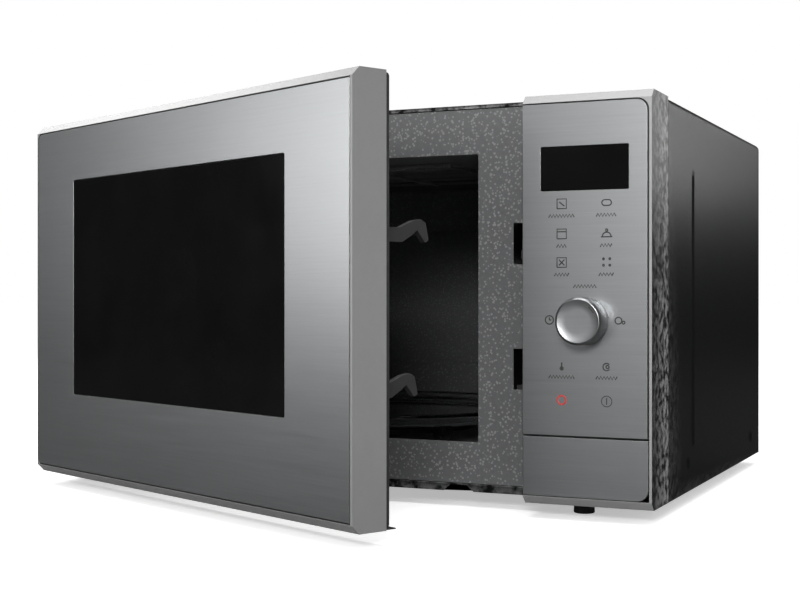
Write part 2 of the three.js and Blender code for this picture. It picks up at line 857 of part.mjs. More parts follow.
// The coupler's shaft stands in the motor; three lobes above the floor turn the tray.
function turntableCoupler() {
  const top = trayBottom - play;
  const base = cavity.floor + gap;
  const hub = 9;
  const arm = { length: 21, half: 4, height: 6 };
  const solids = [
    rod("z", [tableX, tableY], [cavity.floor - 11, base + 3], shaftRadius),
    rod("z", [tableX, tableY], [base, top - arm.height + 2], hub),
  ];
  for (let lobe = 0; lobe < lobes; lobe++) {
    const lobeArm = box([0, arm.length], around(0, arm.half), [top - arm.height, top]);
    solids.push(lobeArm.rotate([0, 0, (lobe * 360) / lobes]).translate([tableX, tableY, 0]));
  }
  return piece("turntable_coupler", join(...solids), blackMoulding);
}

// Lugs under the tray stand between the coupler's lobes.
function glassTray() {
  const z = trayBottom;
  const flat = trayRadius - 26;
  const top = z + trayRimHeight;
  const profile = [
    [0, z],
    [flat, z],
    [flat + 6, z + 1],
    [trayRadius - 2, top - trayThickness],
    [trayRadius, top - trayThickness / 2],
    [trayRadius - 1.2, top],
    [trayRadius - 4, top],
    [flat + 4, z + trayThickness + 0.8],
    [flat, z + trayThickness],
    [0, z + trayThickness],
  ];
  const solids = [turned(profile, tableX, tableY, 40)];
  const lugPlace = 15;
  const lugRadius = 3;
  for (let lug = 0; lug < lobes; lug++) {
    const angle = (2 * Math.PI * (lug + 0.5)) / lobes;
    const place = [tableX + lugPlace * Math.cos(angle), tableY + lugPlace * Math.sin(angle)];
    solids.push(rod("z", place, [z - 4.5, z + 1], lugRadius, lugRadius, 12));
  }
  return piece("glass_tray", join(...solids), clearGlass);
}

// A moulded ring with three stub axles, each ending in a cap that keeps its roller on.
const rollerAngle = (index) => 90 + (index * 360) / rollers;

function rollerRing() {
  const outer = rollerTrack - rollerWidth / 2 - play;
  const inner = outer - 8;
  const [bottom, top] = around(rollerZ, 1.6);
  const section = [
    [inner, bottom],
    [outer, bottom],
    [outer, top],
    [inner, top],
    [inner, bottom],
  ];
  const capStart = rollerTrack + rollerWidth / 2 + play;
  const cap = axleRadius + 1.6;
  const solids = [turned(section, tableX, tableY)];
  for (let stub = 0; stub < rollers; stub++) {
    const axle = join(
      rod("x", [0, rollerZ], [outer - 4, capStart + 1.5], axleRadius, axleRadius, 12),
      rod("x", [0, rollerZ], [capStart, capStart + 2], cap, cap - 0.4, 12),
    );
    solids.push(axle.rotate([0, 0, rollerAngle(stub)]).translate([tableX, tableY, 0]));
  }
  return piece("roller_ring", join(...solids), blackMoulding);
}

function roller(index) {
  const span = [rollerTrack - rollerWidth / 2, rollerTrack + rollerWidth / 2];
  const wheel = cut(
    rod("x", [0, rollerZ], span, rollerRadius, rollerRadius, 28),
    rod("x", [0, rollerZ], [span[0] - 1, span[1] + 1], axleRadius + gap, axleRadius + gap, 12),
  );
  const made = wheel.rotate([0, 0, rollerAngle(index)]).translate([tableX, tableY, 0]);
  return piece(`roller_${index + 1}`, made, blackMoulding);
}

// ---------------------------------------------------------------- electronics and cooling

function inverterBoard() {
  const z = inverterZ;
  const [x0] = boardX;
  const [y0] = inverterY;
  const corners = grown(boardX, -5).flatMap((x) => grown(inverterY, -5).map((y) => [x, y]));
  const stud = 3;
  const sink = { x: x0 + 6, y: [y0 + 12, y0 + 52], fins: 7, step: 7, fin: 1.6 };
  const solids = [
    box(boardX, inverterY, [z, z + board]),
    ...corners.map((place) => rod("z", place, [panFloor, z + 1], stud, stud, 12)),
    // The heat sink's foot, and two film capacitors.
    box([sink.x, sink.x + 44], sink.y, [z + 1, z + 6]),
    box([x0 + 58, x0 + 78], [y0 + 14, y0 + 44], [z + 1, z + 24]),
    rod("z", [x0 + 68, y0 + 64], [z + 1, z + 28], 9, 9, 20),
  ];
  for (let fin = 0; fin < sink.fins; fin++) {
    const x = sink.x + fin * sink.step;
    solids.push(box([x, x + sink.fin], sink.y, [z + 5, z + 32]));
  }
  return piece("inverter_board", join(...solids), boardGreen);
}

function inverterTransformer() {
  const size = 52;
  const height = 44;
  const cheek = 8;
  const coilRadius = 19;
  const [x, y] = [boardX[0] + 14, inverterY[0] + 82];
  const z = inverterZ + board + gap;
  const made = join(
    box([x, x + size], [y, y + cheek], [z, z + height]),
    box([x, x + size], [y + size - cheek, y + size], [z, z + height]),
    rod("y", [x + size / 2, z + height / 2], [y + 4, y + size - 4], coilRadius, coilRadius, 28),
  );
  return piece("inverter_transformer", made, copperEnamel);
}

function noiseFilterBoard() {
  const z = caseHeight - 62;
  const [x0, x1] = boardX;
  const y = [backInner - 78, backInner - 8];
  const made = join(
    box([x0 + 4, x1 - 4], y, [z, z + board]),
    box([x0 + 10, x0 + 28], [y[0] + 8, y[0] + 34], [z + 1, z + 20]),
    rod("z", [x0 + 54, y[0] + 24], [z + 1, z + 22], 12, 12, 20),
    rod("x", [y[0] + 58, z + 5], [x0 + 12, x0 + 40], 4, 4, 12),
    box([x0 + 50, x0 + 74], [y[0] + 50, y[0] + 66], [z + 1, z + 14]),
  );
  return piece("noise_filter_board", made, boardGreen);
}

function fanShroud() {
  const half = fanRadius + 8;
  const bore = fanRadius + 1.5;
  const wall = 2;
  const made = cut(
    join(
      box(around(fanX, half), fanPlate, around(fanHeight, half)),
      rod("y", fanCentre, [fanPlate[0], backInner - gap], bore + wall, bore + wall, 40),
    ),
    rod("y", fanCentre, [fanPlate[0] - 1, backInner + 1], bore, bore, 40),
  );
  return piece("fan_shroud", made, blackMoulding);
}

function fanMotor() {
  const rear = fanPlate[0] - gap;
  const can = { radius: 17, front: rear - 32, rear: rear - 6 };
  const arm = around(fanX, fanRadius + 6);
  const z = around(fanHeight, 6);
  const made = cut(
    join(
      rod("y", fanCentre, [can.front, can.rear], can.radius, can.radius, 28),
      box(arm, [rear - 10, rear - 8], z),
      box([arm[0], arm[0] + 3], [rear - 10, rear], z),
      box([arm[1] - 3, arm[1]], [rear - 10, rear], z),
    ),
    rod("y", fanCentre, [can.front + 6, rear + 1], shaftRadius + play),
  );
  return piece("fan_motor", made, zincSteel);
}

function fanBlade() {
  const blades = 6;
  const pitch = 35;
  const hub = 10;
  const chord = 8.5; // half of a blade's width
  const solids = [
    rod("y", fanCentre, fanSpan, hub, hub - 1, 24),
    rod("y", fanCentre, [fanPlate[0] - 22, fanSpan[1] - 2], shaftRadius),
  ];
  for (let blade = 0; blade < blades; blade++) {
    const vane = box([hub - 2, fanRadius - 2], around(0, chord), around(0, 0.9));
    solids.push(
      vane
        .rotate([pitch, 0, 0])
        .rotate([0, (blade * 360) / blades, 0])
        .translate([fanX, (fanSpan[0] + fanSpan[1]) / 2, fanHeight]),
    );
  }
  return piece("fan_blade", join(...solids), blackMoulding);
}

// ---------------------------------------------------------------- latch housing and hinges

// An upright plate beside the hooks, a foot flange behind the front plate, and a ledge below
// each hook.
function latchHousing() {
  const front = cavity.front;
  const rear = front + 53;
  const z = [leverPivot[1] - 10, hookRise + 34];
  const x = [latchPlateX, latchPlateX + latchPlate];
  const solids = [
    box(x, [front, rear], z),
    box([x[0], frontPlateRight - gap], [front, front + latchPlate], [z[0] + 30, z[1]]),
  ];
  const ledge = { front: frontPlane + 14, rear: frontPlane + 24, height: 7 };
  for (const [tip, shorter] of hooks) {
    const y = [ledge.front - shorter, ledge.rear - shorter];
    solids.push(box([hookLine - hookThickness, x[0] + 1], y, [tip - ledge.height, tip - play]));
  }
  const hole = leverTube + gap;
  const pivotHole = rod("x", leverPivot, [x[0] - 1, x[1] + 1], hole, hole, 20);
  return piece("latch_housing", cut(join(...solids), pivotHole), blackMoulding);
}

// A microswitch with its leaf, beside the housing.
function doorSwitch(name, z) {
  const x0 = latchPlateX + latchPlate + gap;
  const y0 = frontPlane + 24;
  const body = { width: 6.5, length: 28, height: 16 };
  const top = z + body.height;
  const tabX = [x0 + 1, x0 + body.width - 1];
  const made = join(
    box([x0, x0 + body.width], [y0, y0 + body.length], [z, top]),
    box([x0 + 2, x0 + 4], [y0 - 4, y0 + 26], [top - 0.5, top + 0.8]),
    box(tabX, [y0 + 6, y0 + 8], [z - 5, z + 1]),
    box(tabX, [y0 + 20, y0 + 22], [z - 5, z + 1]),
  );
  return piece(name, made, blackMoulding);
}

// Pressed by the opening button's plunger at its toe; its finger lifts the lower hook.
function releaseLever() {
  const [py, pz] = leverPivot;
  const half = 3; // of the arms' thickness at the tube
  const toe = pz - toeArm;
  const fingerX = around(hookLine, 2.5);
  const reach = hookReach - hookStagger;
  const tip = hookRise - hookSpacing - play - leverLift;
  const arm = outline([
    [py - half, pz - half],
    [py + half, pz - half],
    [py + half, toe - 4],
    [py - half + 0.5, toe - 6],
    [py - half, toe - 4],
  ]);
  const finger = outline([
    [py - 1, pz - half],
    [py + half, pz - half],
    [reach - 1, tip - 5],
    [reach + 1, tip],
    [reach - 4, tip],
    [py - 1, pz + half],
  ]);
  const made = join(
    rod("x", leverPivot, [fingerX[0], toeX[1]], leverTube, leverTube, 20),
    prism(arm, "yz", ...toeX),
    prism(finger, "yz", ...fingerX),
  );
  return piece("release_lever", made, blackMoulding);
}

// A steel angle: an upright leg behind the front plate and a tongue through it for the pin.
function hingeBracket(name, level, towards) {
  const rear = cavity.front;
  const top = level + tongueThickness;
  const leg = grown([level, top], 8).map((z) => z - towards * 12);
  const legZ = [Math.min(leg[0], level), Math.max(leg[1], top)];
  const angle = join(
    box(around(hingeX, tongueHalf), [hingeY, rear + 1], [level, top]),
    rod("z", hingeAxis, [level, top], tongueHalf),
    box([2, 15], [rear, rear + tongueThickness], legZ),
  );
  const bore = rod("z", hingeAxis, [level - 1, top + 1], hingePin + gap);
  return piece(name, cut(angle, bore), zincSteel);
}

// The pin's head rests against the tongue on the side away from the door's bore.
function hingePinAt(name, level, towards) {
  const face = towards > 0 ? level : level + tongueThickness;
  const span = (from, to) => [face + towards * from, face + towards * to].sort((a, b) => a - b);
  const made = join(
    rod("z", hingeAxis, span(-gap, pinLength), hingePin),
    rod("z", hingeAxis, span(-gap - 1, -gap), hingePin + 1.2),
  );
  return piece(name, made, zincSteel);
}

// ---------------------------------------------------------------- control panel

function panelFrame() {
  const inset = frontChamfer + gap;
  const outerSide = bevelled(0, panelDepth, 0, frontChamfer);
  const outside = prism(outerSide, "yz", panelLeft, caseWidth);
  const wallStart = recess + moulding;
  const innerSide = bevelled(wallStart, panelDepth + 1, moulding, 3);
  const hollow = prism(innerSide, "yz", panelLeft + moulding, caseWidth - moulding);
  const faceArea = roundedRect(
    [panelLeft - 1, faceRight],
    [inset, caseHeight - inset],
    [0, faceCorner, faceCorner, 0],
  );
  const ledge = 3;
  const cuts = [
    hollow,
    prism(faceArea, "xz", -1, recess),
    // the left wall stops in front of the steel front plate
    box(
      [panelLeft - 1, frontPlateRight + gap],
      [frontPlane, panelDepth + 1],
      [moulding + 1, caseHeight - 2.3],
    ),
    // and the lower wall stops in front of the base plate
    box(
      [panelLeft - 1, caseWidth - moulding],
      [frontPlane, panelDepth + 1],
      [-1, moulding + 1],
    ),
    // seat and opening of the display
    box(grown(display.x, -ledge), [0, wallStart + 1], grown(display.z, -ledge)),
    rod("y", dialCentre, [0, wallStart + 1], shaftRadius + 2.5),
    // the opening button takes the whole width below the sheet
    box([panelLeft - 1, faceRight], [-1, 16], [inset, buttonTop + gap]),
  ];
  // Seat for the button's return spring.
  const seatX = around(springX, 2 * springRadius);
  const seat = box(seatX, [springSeat, springSeat + 2], [moulding - 1, springZ + 6]);
  return piece("panel_frame", join(cut(outside, ...cuts), seat), silverMoulding);
}

function controlFascia() {
  const area = roundedRect(
    [panelLeft, faceRight - gap],
    [buttonTop + 2 * gap, caseHeight - frontChamfer - 2 * gap],
    [0, 0, faceCorner - gap, 0],
  );
  const sheetSolid = prism(area, "xz", 0, faceSheet);
  const made = cut(
    sheetSolid,
    box(display.x, [-1, faceSheet + 1], display.z),
    rod("y", dialCentre, [-1, faceSheet + 1], shaftRadius + 2),
  );
  return piece("control_fascia", made, brushedSteel);
}

// The touch film lies behind the sheet, round the display and the dial's shaft.
function touchFilm() {
  const front = faceSheet + gap;
  const thickness = 0.3;
  const z = [buttonTop + 10, display.z[0] - 3];
  const made = cut(
    box([panelLeft + 6, caseWidth - 8], [front, front + thickness], z),
    rod("y", dialCentre, [0, front + 2], shaftRadius + 2),
  );
  return piece("touch_film", made, film);
}

function displayWindow() {
  const corner = 0.6;
  const shape = roundedRect(grown(display.x, -gap), grown(display.z, -gap), rounded(corner));
  return piece("display_window", prism(shape, "xz", glassSet, recess - gap, 2), blackGlass);
}

function displayModule() {
  const y = [recess + moulding + 1.5, controlBoardY[0] - gap];
  const made = join(
    box(grown(display.x, -1), y, grown(display.z, 1)),
    box(grown(display.x, -5), [y[0] - 0.8, y[0] + 1], grown(display.z, -4)),
  );
  return piece("display_module", made, blackMoulding);
}

function controlBoard() {
  const x0 = panelLeft + 5;
  const z = [buttonTop + 16, caseHeight - 14];
  const standing = (height) => [controlBoardY[1] - 0.5, controlBoardY[1] + height];
  // The chip, the transformer, a relay and a capacitor stand on the board's rear face.
  const made = join(
    box([x0, caseWidth - 5], controlBoardY, z),
    box([x0 + 14, x0 + 34], standing(3.4), [z[1] - 92, z[1] - 72]),
    box([x0 + 8, x0 + 36], standing(16.4), [z[0] + 6, z[0] + 30]),
    box([x0 + 46, x0 + 66], standing(11.4), [z[0] + 6, z[0] + 22]),
    rod("y", [x0 + 56, z[0] + 40], standing(13.4), 6),
  );
  return piece("control_board", made, boardGreen);
}

function dialEncoder() {
  const rear = controlBoardY[0] - gap;
  const front = recess + moulding + 1;
  const half = 7;
  const bush = shaftRadius + 1.8;
  const made = cut(
    join(
      box(around(panelMiddle, half), [front + 3, rear], around(dialHeight, half)),
      rod("y", dialCentre, [front, rear - 2], bush),
    ),
    rod("y", dialCentre, [front - 1, rear - 2], shaftRadius + gap),
  );
  return piece("dial_encoder", made, zincSteel);
}

function dialShaft() {
  const span = [-dialDepth + 6, controlBoardY[0] - gap - 3];
  return piece("dial_shaft", rod("y", dialCentre, span, shaftRadius), zincSteel);
}

// The knob is a shell: a bevelled cap with a hub for the shaft.
function dialKnob() {
  const face = -dialDepth;
  const back = -play;
  const bevel = 1.8;
  const inner = dialRadius - moulding;
  const made = join(
    cut(
      join(
        rod("y", dialCentre, [face + bevel, back], dialRadius, dialRadius, 32),
        rod("y", dialCentre, [face, face + bevel], dialRadius - bevel, dialRadius, 32),
      ),
      rod("y", dialCentre, [face + 4, back + 1], inner, inner, 24),
    ),
    rod("y", dialCentre, [face + 2, back - 1], shaftRadius + moulding),
  );
  const bore = rod("y", dialCentre, [face + 5.5, back + 1], shaftRadius + gap);
  return piece("dial_knob", cut(made, bore), brushedSteel);
}

// The push block below the control sheet, with a skirt, a plunger and a spring boss.
function releaseButton() {
  const x = [panelLeft + gap, faceRight - play];
  const z = [frontChamfer + 2 * gap, buttonTop - gap];
  const face = roundedRect(x, z, [0, faceCorner - gap, 0, 0]);
  const skirt = 9;
  const toe = leverPivot[1] - toeArm;
  const made = join(
    cut(
      prism(face, "xz", 0, skirt),
      box(grown(x, -buttonWall), [buttonWall, skirt + 1], grown(z, -buttonWall)),
    ),
    // the plunger pushes the lever's toe below its middle, where the toe moves furthest
    box(toeX, [1, leverPivot[0] - 3 - gap], [toe - 5, toe - 0.5]),
    rod("y", [springX, springZ], [1, skirt], springRadius - 1.4),
  );
  return piece("release_button", made, brushedSteel);
}

// The return spring stands on its seat at the length that it has with the button pressed.
function releaseSpring() {
  const wire = 0.5;
  const start = buttonWall + buttonTravel + gap + wire;
  const length = springSeat - gap - wire - start;
  const geometry = coil([0, 0], springRadius, [-length / 2, length / 2], 5, wire);
  geometry.applyMatrix4(alongY);
  geometry.translate(springX, start + length / 2, springZ);
  return piece("release_spring", solid(geometry), zincSteel);
}

// ---------------------------------------------------------------- door, drawn closed

function doorFrame() {
  const wall = 2.5;
  const [hx, hy] = [hingeX, hingeY];
  const plan = join(
    box([hx, doorWidth], [-1, sideWallDepth], [-1, caseHeight + 1]),
    box([0, hx + 1], [-1, hy], [-1, caseHeight + 1]),
    rod("z", [hx, hy], [-1, caseHeight + 1], hingeCorner, hingeCorner, 32),
  );
  const outerSide = bevelled(0, doorThickness, 0, frontChamfer);
  const outside = prism(outerSide, "yz", 0, doorWidth).intersect(plan);
  const front = doorFront + 0.6;
  const innerSide = bevelled(front, doorThickness + 1, wall, 3);
  // Solid corners for the hinge pins' bores.
  const block = { x: [0, hx + 7], y: [hy - 13, doorThickness], height: 34 };
  const hollow = cut(
    prism(innerSide, "yz", wall, doorWidth - wall),
    box(block.x, block.y, [0, block.height]),
    box(block.x, block.y, [caseHeight - block.height, caseHeight]),
  );
  const seat = roundedRect(doorFace.x, doorFace.z, [doorCorner, 0, 0, doorCorner]);
  const cuts = [
    hollow,
    prism(seat, "xz", -1, faceSheet + gap),
    box(grown(windowSpan.x, gap), [-1, glassThickness + 2 * gap], grown(windowSpan.z, gap)),
    box(grown(windowSpan.x, -4), [-1, front + 1], grown(windowSpan.z, -4)),
  ];
  // A notch for each hinge tongue and the pin's head, and the bore for the pin beyond it.
  const [headSide, boreSide] = [2, 0.7];
  const notchX = [-1, hx + tongueHalf + 2];
  const notchY = [hy - tongueHalf - 1, doorThickness + 1];
  const [upper, lower] = tongueLevels;
  const lowerTop = lower + tongueThickness;
  cuts.push(
    box(notchX, notchY, [upper - headSide, upper + tongueThickness + boreSide]),
    box(notchX, notchY, [lower - boreSide, lowerTop + headSide]),
    rod("z", hingeAxis, [upper, upper + pinLength + 1], hingePin + gap),
    rod("z", hingeAxis, [lowerTop - pinLength - 1.5, lowerTop], hingePin + gap),
  );
  const shelf = keyTop + keySpring + 2 * gap;
  const springShelf = box(
    [hookLine - 5, doorWidth - 1],
    [front - 1, sideWallDepth - 1],
    [shelf, shelf + 2],
  );
  return piece("door_frame", join(cut(outside, ...cuts), springShelf), silverMoulding);
}

function doorFrontSheet() {
  const corner = doorCorner - gap;
  const corners = [corner, 0, 0, corner];
  const area = roundedRect(grown(doorFace.x, -gap), grown(doorFace.z, -gap), corners);
  const window = roundedRect(windowSpan.x, windowSpan.z, rounded(windowCorner));
  const made = cut(prism(area, "xz", 0, faceSheet), prism(window, "xz", -1, faceSheet + 1, 2));
  return piece("door_front_sheet", made, brushedSteel);
}

function doorWindow() {
  const corners = rounded(windowCorner - gap);
  const shape = roundedRect(grown(windowSpan.x, -gap), grown(windowSpan.z, -gap), corners);
  return piece("door_window", prism(shape, "xz", glassSet, glassThickness, 3), blackGlass);
}

// The inner steel pan, whose middle carries the screen.
function doorScreen() {
  const x = [hingeX + 9, hookLine - 8];
  const z = [8, caseHeight - 8];
  const rear = sideWallDepth - 0.5;
  const front = doorFront + 4;
  const made = cut(
    box(x, [front, rear], z),
    box(grown(x, -sheet), [front - 1, rear - sheet], grown(z, -sheet)),
  );
  return piece("door_screen", made, zincSteel);
}

// A black ring over the door's rear edge, with two slots for the hooks and a small tab below.
function chokeCover() {
  const y = [sideWallDepth + gap, doorThickness];
  const x = [hingeX + tongueHalf + 2.5, doorWidth - 0.8];
  const ring = prism(roundedRect(x, grown([0, caseHeight], -0.9), rounded(3)), "xz", ...y, 3);
  const view = roundedRect(
    grown([opening.left, opening.right], -8),
    grown([opening.bottom, opening.top], -8),
    rounded(6),
  );
  const through = grown(y, 1);
  const slotX = around(hookLine, hookThickness / 2 + play);
  const cuts = [
    prism(view, "xz", ...through, 3),
    ...hooks.map(([tip]) => box(slotX, through, grown([tip, tip + hookRoot + latchTravel], play))),
  ];
  const tabX = [hookLine, hookLine + 8];
  const tab = box(tabX, [y[0], y[1] + 6.5], [0, 0.7]);
  const root = box(tabX, y, [0, 2]);
  return piece("choke_cover", join(cut(ring, ...cuts), tab, root), blackMoulding);
}

// One hook: an arm that rises a little and then turns down to its tip.
function hook(reach, tip) {
  return outline([
    [keyBar[0], tip],
    [reach - 21.5, tip],
    [reach - 13.5, tip + 4.5],
    [reach - 9.5, tip + 7.5],
    [reach - 3, tip],
    [reach, tip + 1.5],
    [reach - 2.5, tip + 12.5],
    [reach - 6.5, tip + hookHeight],
    [reach - 12.5, tip + 13.5],
    [reach - 23.5, tip + hookRoot],
    [keyBar[0], tip + hookRoot],
  ]);
}

function latchKey() {
  const x = around(hookLine, hookThickness / 2);
  const made = join(
    box(x, keyBar, [hookRise - hookSpacing - 8, keyTop]),
    ...hooks.map(([tip, shorter]) => prism(hook(hookReach - shorter, tip), "yz", ...x)),
  );
  return piece("latch_key", made, blackMoulding);
}

function latchSpring() {
  const wire = 0.45;
  const middle = (keyBar[0] + keyBar[1]) / 2;
  const span = [keyTop + gap + wire, keyTop + gap + keySpring - wire];
  const geometry = coil([hookLine, middle], 2.1, span, 6, wire);
  return piece("latch_spring", solid(geometry), zincSteel);
}

// ---------------------------------------------------------------- assembly

const oven = new THREE.Group();

oven.add(
  outerCase(),
  backPlate(),
  basePlate(),
  cordGland(),
  ...footPlaces.map(([name, x, y]) => foot(name, x, y)),
  ...screwPlaces.map(([name, x]) => caseScrew(name, x)),
);
oven.add(
  frontPlate(),
  cavityLiner(),
  waveguideCover(),
  waveguide(),
  magnetron(),
  grillReflector(),
  ...grillTubes.map(([name, y]) => grillTube(name, y)),
  grillGuard(),
  ovenLamp(),
  thermalCutout(),
);
oven.add(
  turntableMotor(),
  turntableCoupler(),
  glassTray(),
  rollerRing(),
  ...Array.from({ length: rollers }, (_, index) => roller(index)),
);
oven.add(
  inverterBoard(),
  inverterTransformer(),
  noiseFilterBoard(),
  fanShroud(),
  fanMotor(),
  fanBlade(),
);
oven.add(
  latchHousing(),
  doorSwitch("door_switch_upper", hookRise - 4),
  doorSwitch("door_switch_lower", hookRise - hookSpacing + 10),
  releaseLever(),
  hingeBracket("hinge_bracket_upper", tongueLevels[0], 1),
  hingeBracket("hinge_bracket_lower", tongueLevels[1], -1),
  hingePinAt("hinge_pin_upper", tongueLevels[0], 1),
  hingePinAt("hinge_pin_lower", tongueLevels[1], -1),
);
oven.add(
  panelFrame(),
  controlFascia(),
  touchFilm(),
  displayWindow(),
  displayModule(),
  controlBoard(),
  dialEncoder(),
  dialShaft(),
  dialKnob(),
  releaseButton(),
  releaseSpring(),
);

// The door's pieces are drawn closed and turn together about the hinge axis.
const door = new THREE.Group();
door.position.set(hingeX, hingeY, 0);
door.rotation.z = THREE.MathUtils.degToRad(-doorOpenAngle);
const leaf = new THREE.Group();
leaf.position.set(-hingeX, -hingeY, 0);
leaf.add(
  doorFrame(),
  doorFrontSheet(),
  doorWindow(),
  doorScreen(),
  chokeCover(),
  latchKey(),
  latchSpring(),
);
door.add(leaf);
oven.add(door);

// The origin goes to the middle of the plane that the feet stand on.
oven.updateMatrixWorld(true);
const extent = new THREE.Box3().setFromObject(oven, true);
const centre = extent.getCenter(new THREE.Vector3());
oven.position.set(-centre.x, -centre.y, -extent.min.z);

export default oven;
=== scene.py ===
"""A countertop microwave oven with its door ajar, finished and lit for the studio.

Lengths are metres and angles degrees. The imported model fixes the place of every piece. This script
remodels what is seen up close, adds the small trim, and gives each piece its finish.
"""

import json
import logging
import math
from collections.abc import Callable, Iterator
from contextlib import contextmanager
from dataclasses import dataclass, field
from enum import Enum

import bmesh
import bpy
from mathutils import Matrix, Vector


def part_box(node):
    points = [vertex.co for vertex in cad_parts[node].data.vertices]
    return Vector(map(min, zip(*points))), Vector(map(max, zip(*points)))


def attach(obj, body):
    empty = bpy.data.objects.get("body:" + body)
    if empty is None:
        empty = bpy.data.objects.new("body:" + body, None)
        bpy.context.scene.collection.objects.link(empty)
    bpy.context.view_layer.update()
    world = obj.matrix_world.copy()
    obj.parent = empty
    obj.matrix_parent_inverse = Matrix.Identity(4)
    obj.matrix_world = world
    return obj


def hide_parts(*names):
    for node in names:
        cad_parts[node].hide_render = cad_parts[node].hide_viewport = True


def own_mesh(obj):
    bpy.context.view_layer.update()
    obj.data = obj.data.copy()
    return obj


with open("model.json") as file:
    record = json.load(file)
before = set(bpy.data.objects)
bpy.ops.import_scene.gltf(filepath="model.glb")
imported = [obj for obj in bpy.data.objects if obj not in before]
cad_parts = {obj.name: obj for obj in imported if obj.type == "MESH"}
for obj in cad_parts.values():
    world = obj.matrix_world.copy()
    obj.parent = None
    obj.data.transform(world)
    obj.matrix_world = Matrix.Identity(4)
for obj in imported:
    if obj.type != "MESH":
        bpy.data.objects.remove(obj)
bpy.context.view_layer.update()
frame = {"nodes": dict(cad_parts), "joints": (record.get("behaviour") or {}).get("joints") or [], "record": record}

log = logging.getLogger("microwave")
MM = 0.001
Span = tuple[float, float]
Rings = tuple[tuple[float, float], ...]
Strokes = list[list[Span]]
Piece = bpy.types.Object
Test = Callable[[Vector, Vector], bool]

node_body = {node: body for body, nodes in frame["record"]["behaviour"]["bodies"].items()
             for node in nodes}
node_slot = {part["node"]: part["material_slot"] for part in frame["record"]["subparts"]}

# The case's left side, the closed door's front face and the case's underside.
corner = Vector((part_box("outer_case")[0].x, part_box("panel_frame")[0].y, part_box("outer_case")[0].z))


def at(x: float, y: float, z: float) -> Vector:
    """Returns a place given in millimetres from the oven's left front lower corner."""
    return corner + Vector((x, y, z)) * MM


# ------------------------------------------------------------------------------ shader groups


@dataclass
class Graph:
    """A node tree with short calls for adding and joining its nodes."""

    tree: bpy.types.NodeTree

    def add(self, kind: str, inputs: dict | None = None, **settings: object) -> bpy.types.Node:
        """Adds a node.

        Args:
            kind: The node's type name without its ShaderNode prefix.
            inputs: Values, or sockets to join, by input name or number.
            **settings: The node's own settings.

        Returns:
            The new node.
        """
        node = self.tree.nodes.new("ShaderNode" + kind)
        for name, value in settings.items():
            setattr(node, name, value)
        for name, value in (inputs or {}).items():
            if isinstance(value, bpy.types.NodeSocket):
                self.tree.links.new(value, node.inputs[name])
            else:
                node.inputs[name].default_value = value
        return node

    def math(self, how: str, first: object, second: object = 0.0) -> bpy.types.NodeSocket:
        """Returns the result of one sum on two values or sockets."""
        return self.add("Math", {0: first, 1: second}, operation=how).outputs[0]

    def ramp(self, value: object, low: Span, high: Span) -> bpy.types.NodeSocket:
        """Maps a value.

        Args:
            value: The socket to read.
            low: The value where the range starts, and what it becomes.
            high: The value where the range ends, and what it becomes.

        Returns:
            The mapped and clamped value.
        """
        ends = {"Value": value, 1: low[0], 2: high[0], 3: low[1], 4: high[1]}
        return self.add("MapRange", ends).outputs[0]

    def blend(self, share: object, first: object, second: object) -> bpy.types.NodeSocket:
        """Returns the mix of two colours by share, from 0 for the first to 1 for the second."""
        node = self.add("Mix", {0: share}, data_type="RGBA")
        for socket, value in ((node.inputs[6], first), (node.inputs[7], second)):
            if isinstance(value, bpy.types.NodeSocket):
                self.tree.links.new(value, socket)
            else:
                socket.default_value = value
        return node.outputs[2]


class Effect(Enum):
    """The surface effects that several finishes share, each a shader node group."""

    DRAWN = "drawn_lines"
    FLECKS = "enamel_flecks"
    GRAIN = "moulded_grain"
    DRIFT = "tone_drift"
    WEAR = "edge_wear"
    DUST = "settled_dust"


